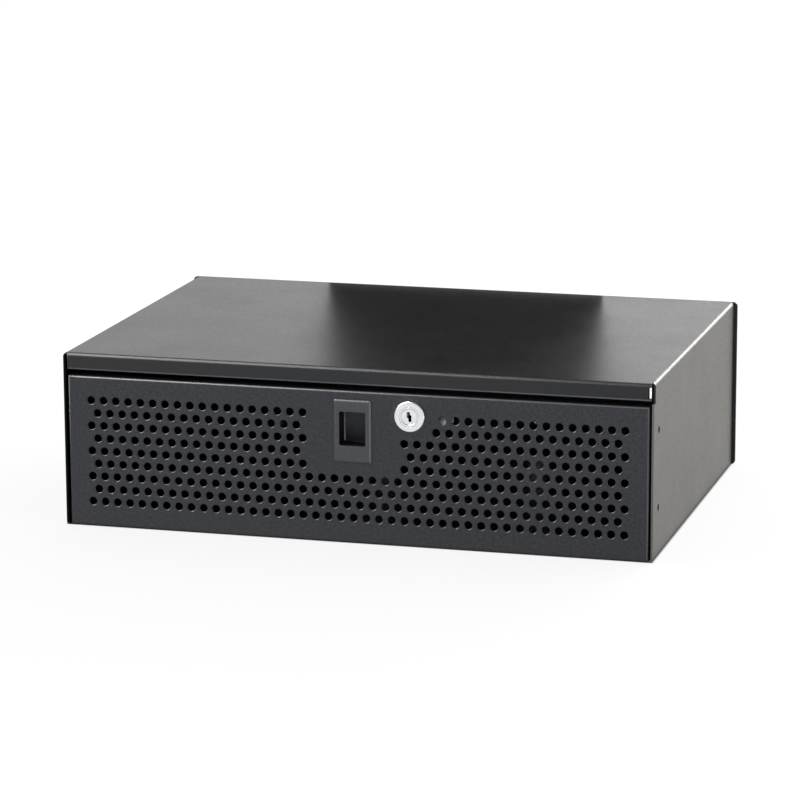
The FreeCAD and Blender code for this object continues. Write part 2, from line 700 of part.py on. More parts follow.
def make_lock_plug():
    plug = new_body("lock_plug", **lock_axis)
    pad(plug, "cylinder", "XZ_Plane", "places.plug_face", "dims.barrel_length - places.plug_face",
        circles=[("0", "0", "dims.plug_size")])
    half_drive = "dims.drive_square / 2"
    pad(plug, "drive", "XZ_Plane", "dims.barrel_length", "dims.cam_gap + dims.cam_sheet", [
        box_outline(f"-{half_drive}", half_drive, f"-{half_drive}", half_drive)])
    pocket(plug, "screw_hole", "XZ_Plane", "places.cam_back", "dims.cam_screw_length",
           circles=[("0", "0", "places.tapped")], toward=-1)
    slot, rise = "dims.keyway_width / 2", "dims.keyway_height / 2"
    pocket(plug, "keyway", "XZ_Plane", "places.plug_face", "dims.keyway_depth", [[
        ("x", f"-{slot}", None), ("y", "0", None), ("x", f"-{slot} / 2", None), ("y", rise, None),
        ("x", slot, None), ("y", "0", None), ("x", f"{slot} / 2", None), ("y", f"-{rise}", None),
    ]])
    wide = "dims.wafer_width / 2 + dims.wafer_fit"
    pocket(plug, "wafer_slots", "XY_Plane", "0", "2 * dims.plug_size", [
        box_outline(f"-({wide})", wide, f"{wafer_start(index)} - dims.wafer_fit",
                    f"{wafer_start(index)} + dims.wafer_sheet + dims.wafer_fit")
        for index in range(int(dims.wafer_count))], toward=0)


def make_lock_wafers():
    half_width = dims.wafer_width / 2
    half_height = places.wafer_chord / 2 - dims.wafer_recess
    key_x = dims.keyway_width / 2 + dims.wafer_window
    key_z = dims.keyway_height / 2 + dims.wafer_window
    wafers = []
    for index in range(int(dims.wafer_count)):
        start = number(wafer_start(index))
        end = start + dims.wafer_sheet
        blade = block(-half_width, half_width, start, end, -half_height, half_height)
        wafers.append(blade.cut(block(-key_x, key_x, start, end, -key_z, key_z)))
    new_shape("lock_wafers", Part.makeCompound(wafers), **lock_axis)


def make_lock_clamp():
    washer = new_body("lock_washer", **lock_axis)
    pad(washer, "ring", "XZ_Plane", "dims.steel_sheet", "dims.washer_sheet", circles=[
        ("0", "0", "dims.barrel_size + 2 * dims.washer_lap"),
        ("0", "0", "dims.barrel_size + 2 * dims.thread_fit")])
    hexagon = doc.addObject("Part::Prism", "nut_hexagon")
    hexagon.Polygon = 6
    hexagon.setExpression("Circumradius", "(dims.barrel_size + 2 * dims.nut_wall) / sqrt(3)")
    hexagon.setExpression("Height", "dims.nut_height")
    hole = doc.addObject("Part::Cylinder", "nut_bore")
    hole.setExpression("Radius", "dims.barrel_size / 2 + dims.thread_fit")
    hole.setExpression("Height", "dims.nut_height")
    nut = doc.addObject("Part::Cut", "lock_nut")
    nut.Base = hexagon
    nut.Tool = hole
    nut.Placement.Rotation = Rotation(Vector(1, 0, 0), -90)
    clamped = "places.front + dims.steel_sheet + dims.washer_sheet"
    place(nut, "lock_nut", lock_axis["x"], clamped, lock_axis["z"])


# Cam: points right when unlocked and up behind the lip when locked

def make_lock_cam():
    cam = new_body("lock_cam", **lock_axis)
    half = "dims.cam_width / 2"
    pad(cam, "arm", "XZ_Plane", "places.cam_front", "dims.cam_sheet", [[
        ("x", f"-{half}", "dims.cam_hub"),
        ("y", half, "dims.cam_corner"),
        ("x", "places.cam_reach", "dims.cam_corner"),
        ("y", f"-{half}", "dims.cam_hub"),
    ]])
    drive = "dims.drive_square / 2 + dims.drive_fit"
    pocket(cam, "drive_hole", "XZ_Plane", "places.cam_front", "dims.cam_sheet", [
        box_outline(f"-({drive})", drive, f"-({drive})", drive)])


def make_cam_screw():
    screw = new_body("cam_screw", x=lock_axis["x"], y="places.front + places.cam_back", z=lock_axis["z"])
    revolve(screw, "turning", [
        ("x", "0", None),
        ("y", "-dims.cam_screw_length", None),
        ("x", "dims.screw_thread / 2", None),
        ("y", "0", None),
        ("x", "dims.cam_screw_head / 2", "dims.cam_screw_edge"),
        ("y", "dims.screw_head_height", None),
    ])


# Door stops: an angle on each side wall with a rubber pad for the door's side fold

def make_stops():
    for side, label in (("1", "stop_bracket_right"), ("-1", "stop_bracket_left")):
        bracket = new_body(label)
        pad(bracket, "angle", "XY_Plane", "places.stop_bottom", "dims.stop_height", [[
            ("x", f"{side} * places.inner_half", None),
            ("y", "places.stop_face + dims.stop_leg", None),
            ("x", f"{side} * (places.inner_half - dims.steel_sheet)", None),
            ("y", "places.stop_face + dims.steel_sheet", None),
            ("x", f"{side} * (places.inner_half - dims.stop_leg)", None),
            ("y", "places.stop_face", None),
        ]])
    pads = []
    for side in (1, -1):
        centre = Vector(side * places.door_half, places.stop_face, places.middle)
        centre.x -= side * (dims.bumper_size / 2 - dims.door_side_gap / 2)
        pads.append(rod(dims.bumper_size, dims.bumper_height, centre, Vector(0, -1, 0)))
    new_shape("door_bumpers", Part.makeCompound(pads))


make_outer_cover()
make_base_pan()
make_rear_plate()
make_cable_grommet("cable_grommet_right", "1")
make_cable_grommet("cable_grommet_left", "-1")
make_screws()
make_ear_nuts()
make_door_panel()
make_hinge()
make_finger_pull()
make_lock_body()
make_lock_plug()
make_lock_wafers()
make_lock_clamp()
make_lock_cam()
make_cam_screw()
make_stops()
doc.recompute()

for item in doc.Objects:
    if "Invalid" in item.State or "Error" in item.State:
        raise RuntimeError(f"{item.Label} did not compute: {item.State}")
for node in nodes:
    if node.Shape.isNull() or not node.Shape.isValid():
        raise RuntimeError(f"{node.Label} has no valid shape")

os.makedirs("parts", exist_ok=True)
for node in nodes:
    node.Shape.exportStep(f"parts/{node.Label}.step")
    print(f"{node.Label}: {len(node.Shape.Solids)} solid, {node.Shape.Volume:.0f} mm3")
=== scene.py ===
import json
from math import acos, cos, pi, radians, sin, tan

import bmesh
import bpy
from mathutils import Matrix, Vector


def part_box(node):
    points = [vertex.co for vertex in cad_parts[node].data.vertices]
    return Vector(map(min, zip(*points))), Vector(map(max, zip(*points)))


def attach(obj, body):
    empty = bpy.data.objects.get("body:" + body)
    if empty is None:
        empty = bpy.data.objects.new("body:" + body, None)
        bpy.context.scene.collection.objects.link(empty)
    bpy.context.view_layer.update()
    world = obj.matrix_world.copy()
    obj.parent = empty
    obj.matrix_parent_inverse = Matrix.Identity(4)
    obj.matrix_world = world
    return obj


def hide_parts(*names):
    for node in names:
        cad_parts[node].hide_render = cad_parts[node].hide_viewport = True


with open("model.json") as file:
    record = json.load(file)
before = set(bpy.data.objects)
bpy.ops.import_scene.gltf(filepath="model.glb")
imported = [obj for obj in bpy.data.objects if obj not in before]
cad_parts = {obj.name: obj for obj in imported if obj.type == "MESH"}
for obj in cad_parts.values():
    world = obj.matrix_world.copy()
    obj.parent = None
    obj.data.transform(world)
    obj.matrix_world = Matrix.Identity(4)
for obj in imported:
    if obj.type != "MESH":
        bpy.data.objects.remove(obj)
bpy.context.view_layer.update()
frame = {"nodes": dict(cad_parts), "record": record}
nodes = frame["nodes"]
print("frame loaded:", len(nodes), "nodes")

scene = bpy.context.scene
scene.view_settings.view_transform = "Standard"

# places shared by several pieces, all read from the frame
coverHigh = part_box("outer_cover")[1]
doorLow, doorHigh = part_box("door_panel")
pullLow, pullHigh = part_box("finger_pull")
plateLow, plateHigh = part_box("rear_plate")
lockLow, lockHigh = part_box("lock_body")
front = doorLow.y                      # face of the door
rear = plateLow.y                      # where the cover meets the rear plate
lockX = (lockLow.x + lockHigh.x) / 2
lockZ = (lockLow.z + lockHigh.z) / 2
sheet = 0.0015                         # steel of cover, base and door
close = 1e-5                           # places this near count as one


# Small mesh kit

quarterTurn = [radians(15 * step) for step in range(7)]      # angles of a rounded edge


# closed outline from (u, v, radius) corners, rounded ones as arcs
def roundedOutline(corners, steps=8):
    points = []
    count = len(corners)
    for index, (u, v, radius) in enumerate(corners):
        here = Vector((u, v))
        if not radius:
            points.append(here)
            continue
        before = (Vector(corners[index - 1][:2]) - here).normalized()
        after = (Vector(corners[(index + 1) % count][:2]) - here).normalized()
        half = acos(max(-1, min(1, before.dot(after)))) / 2
        centre = here + (before + after).normalized() * radius / sin(half)
        start = here + before * radius / tan(half) - centre
        end = here + after * radius / tan(half) - centre
        sweep = pi - 2 * half
        for step in range(steps + 1):
            share = step / steps
            points.append(centre + (start * sin((1 - share) * sweep) + end * sin(share * sweep)) / sin(sweep))
    return points


def roundedRectangle(u0, u1, v0, v1, radius=0):
    return roundedOutline([(u0, v0, radius), (u1, v0, radius), (u1, v1, radius), (u0, v1, radius)])


def circle(u, v, radius, steps=24):
    return [Vector((u + radius * cos(2 * pi * k / steps), v + radius * sin(2 * pi * k / steps)))
            for k in range(steps)]


# flat outline stood up at a place along y
def standing(y, outline):
    return [(u, y, v) for u, v in outline]


# rounded rectangle that stands at y, drawn in from a box
def insetLoop(y, low, high, inset, radius):
    return standing(y, roundedRectangle(low.x + inset, high.x - inset, low.z + inset, high.z - inset, radius))


spread = {"x": lambda a, u, v: (a, u, v), "y": lambda a, u, v: (u, a, v), "z": lambda a, u, v: (u, v, a)}


# prism along an axis, its outline in the other two
def addPrism(bm, axis, start, end, outline):
    rings = [[bm.verts.new(spread[axis](a, *point)) for point in outline] for a in (start, end)]
    bm.faces.new(rings[0])
    bm.faces.new(rings[1])
    for k in range(len(outline)):
        after = (k + 1) % len(outline)
        bm.faces.new((rings[0][k], rings[0][after], rings[1][after], rings[1][k]))


def addBox(bm, low, high):
    addPrism(bm, "y", low[1], high[1], roundedRectangle(low[0], high[0], low[2], high[2]))


# skin over closed loops of equal length, each a list of points
def addLoft(bm, loops, closed=False):
    rings = [[bm.verts.new(point) for point in loop] for loop in loops]
    pairs = list(zip(rings, rings[1:])) + ([(rings[-1], rings[0])] if closed else [])
    for a, b in pairs:
        for k in range(len(a)):
            after = (k + 1) % len(a)
            bm.faces.new((a[k], a[after], b[after], b[k]))
    if not closed:
        bm.faces.new(rings[0])
        bm.faces.new(rings[-1])


# solid turned about a line along y, from (radius, y) pairs, the first and last near the axis or a ring
def addTurned(bm, x, z, profile, steps=64, ring=False):
    addLoft(bm, [standing(y, circle(x, z, radius, steps)) for radius, y in profile], closed=ring)


def meshOf(name, fill):
    bm = bmesh.new()
    fill(bm)
    bmesh.ops.recalc_face_normals(bm, faces=bm.faces)
    mesh = bpy.data.meshes.new(name)
    bm.to_mesh(mesh)
    bm.free()
    return mesh


def newObject(name, data):
    piece = bpy.data.objects.new(name, data)
    scene.collection.objects.link(piece)
    return piece


# gives an object its mesh with the modifiers applied, and takes them off
def settled(piece):
    bpy.context.view_layer.update()
    mesh = bpy.data.meshes.new_from_object(piece.evaluated_get(bpy.context.evaluated_depsgraph_get()))
    piece.modifiers.clear()
    piece.data = mesh


def combined(mesh, fill, operation):
    piece = newObject("blank", mesh)
    tool = newObject("tool", meshOf("tool", fill))
    modifier = piece.modifiers.new("combine", "BOOLEAN")
    modifier.operation = operation
    modifier.solver = "MANIFOLD"
    modifier.object = tool
    settled(piece)
    result = piece.data
    bpy.data.objects.remove(piece)
    bpy.data.objects.remove(tool)
    return result


def cut(mesh, fill):
    return combined(mesh, fill, "DIFFERENCE")


def joined(mesh, fill):
    return combined(mesh, fill, "UNION")


# rounds the sharp edges, then lets large faces set the shading
def finish(piece, edge=0, sharp=40):
    if edge:
        bevel = piece.modifiers.new("edge", "BEVEL")
        bevel.width = edge
        bevel.segments = 2
        bevel.limit_method = "ANGLE"
        bevel.angle_limit = radians(50)
        settled(piece)
    piece.data.shade_smooth()
    piece.data.set_sharp_from_angle(angle=radians(sharp))
    normals = piece.modifiers.new("shade", "WEIGHTED_NORMAL")
    normals.keep_sharp = True
    settled(piece)


# the first material is all over the piece, and marked faces take the second
def dress(piece, body, slot, materials, *replaced):
    piece.data.materials.clear()
    for material in materials:
        piece.data.materials.append(material)
    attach(piece, body)
    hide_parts(*replaced)


# Node kit

socketKinds = {int: "NodeSocketInt", float: "NodeSocketFloat", tuple: "NodeSocketVector"}


def socket(tree, name, kind, out=False, value=None):
    made = tree.interface.new_socket(name=name, in_out="OUTPUT" if out else "INPUT", socket_type=kind)
    if value is not None:
        made.default_value = value


# gives a node its inputs by name or number, from values or other sockets
def feed(tree, node, inputs):
    for name, value in inputs.items():
        if isinstance(value, bpy.types.NodeSocket):
            tree.links.new(value, node.inputs[name])
        else:
            node.inputs[name].default_value = value


def add(tree, kind, inputs=None, **properties):
    node = tree.nodes.new(kind)
    for name, value in properties.items():
        setattr(node, name, value)
    feed(tree, node, inputs or {})
    return node


def maths(tree, operation, a, b=0.0, clamp=False):
    return add(tree, "ShaderNodeMath", {0: a, 1: b}, operation=operation, use_clamp=clamp).outputs[0]


def times(tree, a, b):
    return maths(tree, "MULTIPLY", a, b)


def plus(tree, a, b):
    return maths(tree, "ADD", a, b)


def minus(tree, a, b):
    return maths(tree, "SUBTRACT", a, b)


# takes a value from one range to another and holds it at the ends
def ramp(tree, value, start=0.0, end=1.0, low=0.0, high=1.0, kind="LINEAR"):
    return add(tree, "ShaderNodeMapRange", {"Value": value, "From Min": start, "From Max": end, "To Min": low,
                                            "To Max": high}, interpolation_type=kind).outputs[0]


def axes(tree, vector):
    return add(tree, "ShaderNodeSeparateXYZ", {0: vector}).outputs


def along(tree, z, x=0.0, y=0.0):
    return add(tree, "ShaderNodeCombineXYZ", {"X": x, "Y": y, "Z": z}).outputs[0]


# tree with named inputs between its geometry and its material
def geometryTree(name, inputs):
    tree = bpy.data.node_groups.new(name, "GeometryNodeTree")
    socket(tree, "Geometry", "NodeSocketGeometry")
    for label, value in inputs.items():
        socket(tree, label, socketKinds[type(value)], value=value)
    socket(tree, "Material", "NodeSocketMaterial")
    socket(tree, "Geometry", "NodeSocketGeometry", out=True)
    return tree, add(tree, "NodeGroupInput").outputs


def closeTree(tree, given, geometry):
    real = add(tree, "GeometryNodeRealizeInstances", {"Geometry": geometry}).outputs[0]
    coated = add(tree, "GeometryNodeSetMaterial", {"Geometry": real, "Material": given["Material"]})
    add(tree, "NodeGroupOutput", {"Geometry": coated.outputs[0]})


def runTree(piece, tree, values):
    modifier = piece.modifiers.new(tree.name, "NODES")
    modifier.node_group = tree
    for item in tree.interface.items_tree:
        if item.in_out == "INPUT" and item.name in values:
            modifier[item.identifier] = values[item.name]
    settled(piece)


# points that carry the way each fitting faces
def pointMesh(name, spots):
    mesh = bpy.data.meshes.new(name)
    mesh.from_pydata([spot for spot, _ in spots], [], [])
    facing = mesh.attributes.new("facing", "FLOAT_VECTOR", "POINT")
    for item, (_, way) in zip(facing.data, spots):
        item.vector = way
    return mesh


def onPoints(tree, points, fitting):
    facing = add(tree, "GeometryNodeInputNamedAttribute", {"Name": "facing"}, data_type="FLOAT_VECTOR")
    turn = add(tree, "FunctionNodeAlignRotationToVector", {"Vector": facing.outputs[0]}, axis="Z")
    return add(tree, "GeometryNodeInstanceOnPoints",
               {"Points": points, "Instance": fitting, "Rotation": turn.outputs[0]}).outputs[0]


def position(tree):
    return add(tree, "GeometryNodeInputPosition").outputs[0]


def moved(tree, geometry, shift=(0, 0, 0), turn=(0, 0, 0)):
    return add(tree, "GeometryNodeTransform",
               {"Geometry": geometry, "Translation": shift, "Rotation": turn}).outputs[0]


def rod(tree, sides, radius, depth, rings=1):
    return add(tree, "GeometryNodeMeshCylinder", {"Vertices": sides, "Side Segments": rings, "Radius": radius,
                                                  "Depth": depth}).outputs["Mesh"]


# tools cut from a base, or joined where there is no base
def boolean(tree, operation, solver, tools, base=None):
    node = add(tree, "GeometryNodeMeshBoolean", operation=operation, solver=solver)
    if base is not None:
        tree.links.new(base, node.inputs["Mesh 1"])
    for tool in tools:
        tree.links.new(tool, node.inputs["Mesh 2"])
    return node.outputs["Mesh"]


def gathered(tree, *parts):
    node = add(tree, "GeometryNodeJoinGeometry")
    for part in parts:
        tree.links.new(part, node.inputs[0])
    return node.outputs[0]


# Effects shared by several materials

def shaderGroup(name, inputs, outputs):
    tree = bpy.data.node_groups.new(name, "ShaderNodeTree")
    for label, value in inputs.items():
        socket(tree, label, "NodeSocketFloat", value=value)
    for label in outputs:
        socket(tree, label, "NodeSocketFloat", out=True)
    return tree, add(tree, "NodeGroupInput").outputs


def objectPlace(tree):
    return add(tree, "ShaderNodeTexCoord").outputs["Object"]


def noise(tree, where, scale, detail, roughness=0.6):
    return add(tree, "ShaderNodeTexNoise", {"Vector": where, "Scale": scale, "Detail": detail,
                                            "Roughness": roughness}).outputs[0]


def attribute(tree, name):
    return add(tree, "ShaderNodeAttribute", attribute_name=name).outputs["Fac"]


# fine orange peel of a baked coat, in two sizes, with a slow drift of tone
def buildCoatGrain():
    tree, given = shaderGroup("coatGrain", {"Grain Scale": 900.0, "Drift Scale": 14.0},
                              ["Height", "Tone", "Drift"])
    where = objectPlace(tree)
    broadScale, fineShare, broadShare = 0.45, 0.45, 0.55
    fine = noise(tree, where, given["Grain Scale"], detail=2.0)
    broad = noise(tree, where, times(tree, given["Grain Scale"], broadScale), detail=3.0)
    mixed = plus(tree, times(tree, fine, fineShare), times(tree, broad, broadShare))
    drift = noise(tree, where, given["Drift Scale"], detail=4.0)
    add(tree, "NodeGroupOutput", {"Height": fine, "Tone": ramp(tree, mixed, 0.34, 0.66), "Drift": drift})
    return tree


# faint dust that stays on faces that look up
def buildRestingDust():
    tree, given = shaderGroup("restingDust", {"Amount": 0.3, "Scale": 60.0}, ["Mask"])
    coordinates = add(tree, "ShaderNodeTexCoord").outputs
    up = axes(tree, coordinates["Normal"])["Z"]
    patch = noise(tree, coordinates["Object"], given["Scale"], detail=6.0, roughness=0.7)
    facing = maths(tree, "POWER", maths(tree, "MAXIMUM", up, 0.0), 3.0)
    lying = times(tree, ramp(tree, patch, 0.42, 0.75), facing)
    add(tree, "NodeGroupOutput", {"Mask": maths(tree, "MULTIPLY", lying, given["Amount"], clamp=True)})
    return tree


# painted highlight of bright metal: the piece's own edge attribute between two heights, broken up a little by
# noise
def buildPaintedGlint():
    tree, given = shaderGroup("paintedGlint", {"Foot": 0.0, "Head": 1.0, "Scale": 220.0}, ["Mask"])
    where = objectPlace(tree)
    height = axes(tree, where)["Z"]
    breakUp = noise(tree, where, given["Scale"], detail=5.0, roughness=0.65)
    mask = times(tree, attribute(tree, "edge"), ramp(tree, breakUp, 0.25, 0.4))
    fade = 0.0006
    for end, inward in (("Foot", fade), ("Head", -fade)):
        mask = times(tree, mask, ramp(tree, height, given[end], plus(tree, given[end], inward)))
    add(tree, "NodeGroupOutput", {"Mask": mask})
    return tree


# fine lines left by rolling, drawing or turning, along one direction
def buildToolLines():
    tree, given = shaderGroup("toolLines", {"Across": 2600.0, "Along": 60.0}, ["Height", "Tone"])
    part = axes(tree, objectPlace(tree))
    stretched = along(tree, times(tree, part["Z"], given["Across"]), times(tree, part["X"], given["Along"]),
                      times(tree, part["Y"], given["Across"]))
    lines = noise(tree, stretched, 1.0, detail=3.0)
    add(tree, "NodeGroupOutput", {"Height": lines, "Tone": lines})
    return tree


coatGrain, restingDust = buildCoatGrain(), buildRestingDust()
paintedGlint, toolLines = buildPaintedGlint(), buildToolLines()


# Materials

def newMaterial(name):
    material = bpy.data.materials.new(name)
    material.use_nodes = True
    tree = material.node_tree
    return material, tree, next(node for node in tree.nodes if node.type == "BSDF_PRINCIPLED")


# colour between two, each plain or from another node
def mixColour(tree, mask, a, b):
    node = add(tree, "ShaderNodeMix", {"Factor": mask}, data_type="RGBA")
    for name, value in (("A", a), ("B", b)):
        slot = next(item for item in node.inputs if item.name == name and item.type == "RGBA")
        if isinstance(value, bpy.types.NodeSocket):
            tree.links.new(value, slot)
        else:
            slot.default_value = (*value, 1)
    return next(item for item in node.outputs if item.type == "RGBA")


def group(tree, made, values):
    return add(tree, "ShaderNodeGroup", values, node_tree=made).outputs


# a finish's plain values, then its colour, roughness and relief, which vary
def surface(tree, shader, coat, colour, uneven, relief=None):
    feed(tree, shader, coat.get("plain", {}))
    feed(tree, shader, {"Base Color": colour, "Roughness": ramp(tree, uneven, 0.0, 1.0, *coat["roughness"])})
    if relief is not None:
        strength, distance = coat["bump"]
        raised = add(tree, "ShaderNodeBump", {"Height": relief, "Strength": strength, "Distance": distance})
        tree.links.new(raised.outputs[0], shader.inputs["Normal"])


blackCoat = {"tones": ((0.0040, 0.0043, 0.0053), (0.0236, 0.0249, 0.0292)), "paintedHighlight": (0.21, 0.215, 0.225),
             "dust": (0.16, 0.155, 0.145), "dustScale": 70.0, "glintMetal": (0.86, 0.86, 0.85),
             "roughness": (0.28, 0.48), "bump": (0.35, 0.00008),
             "grain": {"Grain Scale": 900.0, "Drift Scale": 14.0},
             "glint": {"Foot": 0.1195, "Head": 0.1276, "Scale": 900.0}}


# tone scales the coat's colour, making copies of one coat; the door's lighter copy is painted light
def makeBlackSteel(name, tone, dust):
    material, tree, shader = newMaterial(name)
    grain = group(tree, coatGrain, blackCoat["grain"])
    glintMetal = group(tree, paintedGlint, blackCoat["glint"])["Mask"]
    dusty = group(tree, restingDust, {"Amount": dust, "Scale": blackCoat["dustScale"]})["Mask"]
    dark, light = ([tone * part for part in end] for end in blackCoat["tones"])
    coat = mixColour(tree, grain["Tone"], dark, light)
    # painted highlight on the marked folds and on the right wall's front
    coat = mixColour(tree, attribute(tree, "paintedHighlight"), coat, blackCoat["paintedHighlight"])
    coat = mixColour(tree, dusty, coat, blackCoat["dust"])
    # painted highlight: bright metal where the edge attribute is set
    coat = mixColour(tree, glintMetal, coat, blackCoat["glintMetal"])
    uneven = times(tree, plus(tree, grain["Tone"], grain["Drift"]), 0.5)
    surface(tree, shader, blackCoat, coat, uneven, grain["Height"])
    tree.links.new(glintMetal, shader.inputs["Metallic"])
    return material


cutSheet = {"tones": ((0.0012, 0.0012, 0.0013), (0.0030, 0.0030, 0.0032)), "roughness": (0.7, 0.9),
            "bump": (0.3, 0.00003), "plain": {"Specular IOR Level": 0.08},
            "grain": {"Grain Scale": 1600.0, "Drift Scale": 90.0}}


# sheared edges and thread inserts, where the coat is thin and takes no shine; on the cover this dull steel is
# also painted shade
def makeCutSteelAndShade():
    material, tree, shader = newMaterial("cutSteelAndShade")
    grain = group(tree, coatGrain, cutSheet["grain"])
    colour = mixColour(tree, grain["Tone"], *cutSheet["tones"])
    surface(tree, shader, cutSheet, colour, grain["Drift"], grain["Height"])
    return material


pullMoulding = {"tones": ((0.064, 0.067, 0.077), (0.116, 0.121, 0.134)), "paintedPullHighlight": (0.36, 0.365, 0.37),
                "roughness": (0.36, 0.46), "bump": (0.3, 0.00003), "plain": {"Specular IOR Level": 0.6},
                "grain": {"Grain Scale": 1400.0, "Drift Scale": 40.0}}


def makePullPlastic():
    material, tree, shader = newMaterial("pullPlastic")
    grain = group(tree, coatGrain, pullMoulding["grain"])
    moulded = mixColour(tree, grain["Tone"], *pullMoulding["tones"])
    # painted highlight on the marked faces
    highlighted = mixColour(tree, attribute(tree, "paintedPullHighlight"), moulded, pullMoulding["paintedPullHighlight"])
    surface(tree, shader, pullMoulding, highlighted, grain["Drift"], grain["Height"])
    return material


cupMoulding = {"tones": ((0.16, 0.167, 0.185), (0.24, 0.25, 0.275)), "deep": (0.003, 0.003, 0.003),
               "paintedPullHighlight": (0.52, 0.525, 0.53), "top": 0.0975, "foot": 0.075, "back": 0.0115, "bend": 0.001,
               "lowest": 0.15, "side": 0.06, "roughness": (0.55, 0.7), "bump": (0.3, 0.00003),
               "plain": {"Specular IOR Level": 0.15}}


# painted light and shade: the cup's tones are lighter than the pull's, and it darkens towards its foot and on
# its side walls
def makeCupPlastic():
    material, tree, shader = newMaterial("cupPlastic")
    grain = group(tree, coatGrain, pullMoulding["grain"])
    where = axes(tree, objectPlace(tree))
    back = front + cupMoulding["back"]
    upward = ramp(tree, where["Z"], cupMoulding["foot"], cupMoulding["top"], cupMoulding["lowest"])
    inward = ramp(tree, where["Y"], back - cupMoulding["bend"], back, cupMoulding["side"])
    moulded = mixColour(tree, grain["Tone"], *cupMoulding["tones"])
    # painted shade towards the foot and on the side walls
    paintedShade = mixColour(tree, times(tree, upward, inward), cupMoulding["deep"], moulded)
    # painted highlight on the cup's left corner
    highlighted = mixColour(tree, attribute(tree, "paintedPullHighlight"), paintedShade, cupMoulding["paintedPullHighlight"])
    surface(tree, shader, cupMoulding, highlighted, grain["Drift"], grain["Height"])
    return material


lockPlating = {"tones": ((0.72, 0.715, 0.70), (0.96, 0.955, 0.935)), "roughness": (0.16, 0.30),
               "bump": (0.25, 0.00012), "keywayShade": (0.012, 0.011, 0.01), "keywayShadeFrom": (0.02, 0.09),
               "lines": {"Across": 1800.0, "Along": 1400.0},
               "grain": {"Grain Scale": 900.0, "Drift Scale": 260.0}}


# bright outside, with painted shade where the keyway goes in
def makeLockChrome():
    material, tree, shader = newMaterial("lockChrome")
    lines = group(tree, toolLines, lockPlating["lines"])
    drift = group(tree, coatGrain, lockPlating["grain"])["Drift"]
    # painted shade at the bottom of the keyway
    keywayShade = ramp(tree, attribute(tree, "depth"), *lockPlating["keywayShadeFrom"])
    plated = mixColour(tree, drift, *lockPlating["tones"])
    surface(tree, shader, lockPlating, mixColour(tree, keywayShade, plated, lockPlating["keywayShade"]), lines["Tone"],
            drift)
    tree.links.new(minus(tree, 1.0, keywayShade), shader.inputs["Metallic"])
    return material


zincPlating = {"tones": ((0.56, 0.57, 0.59), (0.76, 0.77, 0.78)), "roughness": (0.24, 0.42),
               "bump": (0.2, 0.00002), "plain": {"Metallic": 1.0}, "lines": {"Across": 2200.0, "Along": 90.0},
               "grain": {"Grain Scale": 700.0, "Drift Scale": 110.0}}


def makeZincSteel():
    material, tree, shader = newMaterial("zincSteel")
    lines = group(tree, toolLines, zincPlating["lines"])
    drift = group(tree, coatGrain, zincPlating["grain"])["Drift"]
    surface(tree, shader, zincPlating, mixColour(tree, drift, *zincPlating["tones"]), lines["Tone"],
            lines["Height"])
    return material


stampedBrass = {"tones": ((0.58, 0.41, 0.16), (0.74, 0.56, 0.27)), "roughness": (0.25, 0.4),
                "plain": {"Metallic": 1.0}, "grain": {"Grain Scale": 1200.0, "Drift Scale": 400.0}}


def makeWaferBrass():
    material, tree, shader = newMaterial("waferBrass")
    grain = group(tree, coatGrain, stampedBrass["grain"])
    colour = mixColour(tree, grain["Drift"], *stampedBrass["tones"])
    surface(tree, shader, stampedBrass, colour, grain["Tone"])
    return material


mouldedRubber = {"tones": ((0.010, 0.010, 0.010), (0.019, 0.019, 0.0195)), "roughness": (0.62, 0.78),
                 "bump": (0.35, 0.00005), "dust": {"Amount": 0.25, "Scale": 120.0},
                 "grain": {"Grain Scale": 2000.0, "Drift Scale": 60.0}}


def makeBlackRubber():
    material, tree, shader = newMaterial("blackRubber")
    grain = group(tree, coatGrain, mouldedRubber["grain"])
    dusty = group(tree, restingDust, mouldedRubber["dust"])["Mask"]
    rubber = mixColour(tree, grain["Drift"], *mouldedRubber["tones"])
    surface(tree, shader, mouldedRubber, mixColour(tree, dusty, rubber, blackCoat["dust"]), grain["Tone"],
            grain["Height"])
    return material


blackSteel = makeBlackSteel("blackSteel", tone=1.0, dust=0.02)
coverSteel = makeBlackSteel("coverSteel", tone=0.5, dust=0.03)
# painted light: the door's coat is lighter than the cover's
doorSteelLit = makeBlackSteel("doorSteelLit", tone=2.7, dust=0.02)
cutSteelAndShade = makeCutSteelAndShade()
pullPlastic, cupPlastic = makePullPlastic(), makeCupPlastic()
lockChrome = makeLockChrome()
zincSteel = makeZincSteel()
blackRubber = makeBlackRubber()
slotMaterial = {"black_steel": blackSteel, "pull_plastic": pullPlastic, "lock_chrome": lockChrome,
                "zinc_steel": zincSteel, "wafer_brass": makeWaferBrass(), "black_rubber": blackRubber}
for subpart in frame["record"]["subparts"]:
    kept = nodes[subpart["node"]]
    kept.data.materials.clear()
    kept.data.materials.append(slotMaterial[subpart["material_slot"]])
print("materials made")


# Cover

cover = {"bend": 0.003, "lowBend": 0.002, "lipBend": 0.0016, "bottomFlange": 0.016, "lipHeight": 0.0125,
         "lipEndGap": 0.0008, "lipReturn": 0.0145, "notchDepth": 0.005, "notchDrop": 0.002,
         "rearFlange": 0.016, "cornerRelief": 0.012, "hingeRoom": 0.00895, "tailGap": 0.0004,
         "earBack": 0.018, "earPitch": 0.05715, "earHole": 0.0026, "edge": 0.0002,
         "cutBand": 0.0006, "endBand": 0.0021, "endDepth": 0.003, "endTurn": 0.45, "foldBand": 0.002,
         "foldTurn": 0.15}


# two places on each side wall where a rack ear screws on
def earPlaces():
    y, lift = front + cover["earBack"], cover["earPitch"] / 2
    return [(side, y, coverHigh.z / 2 + rise * lift) for side in (1, -1) for rise in (1, -1)]


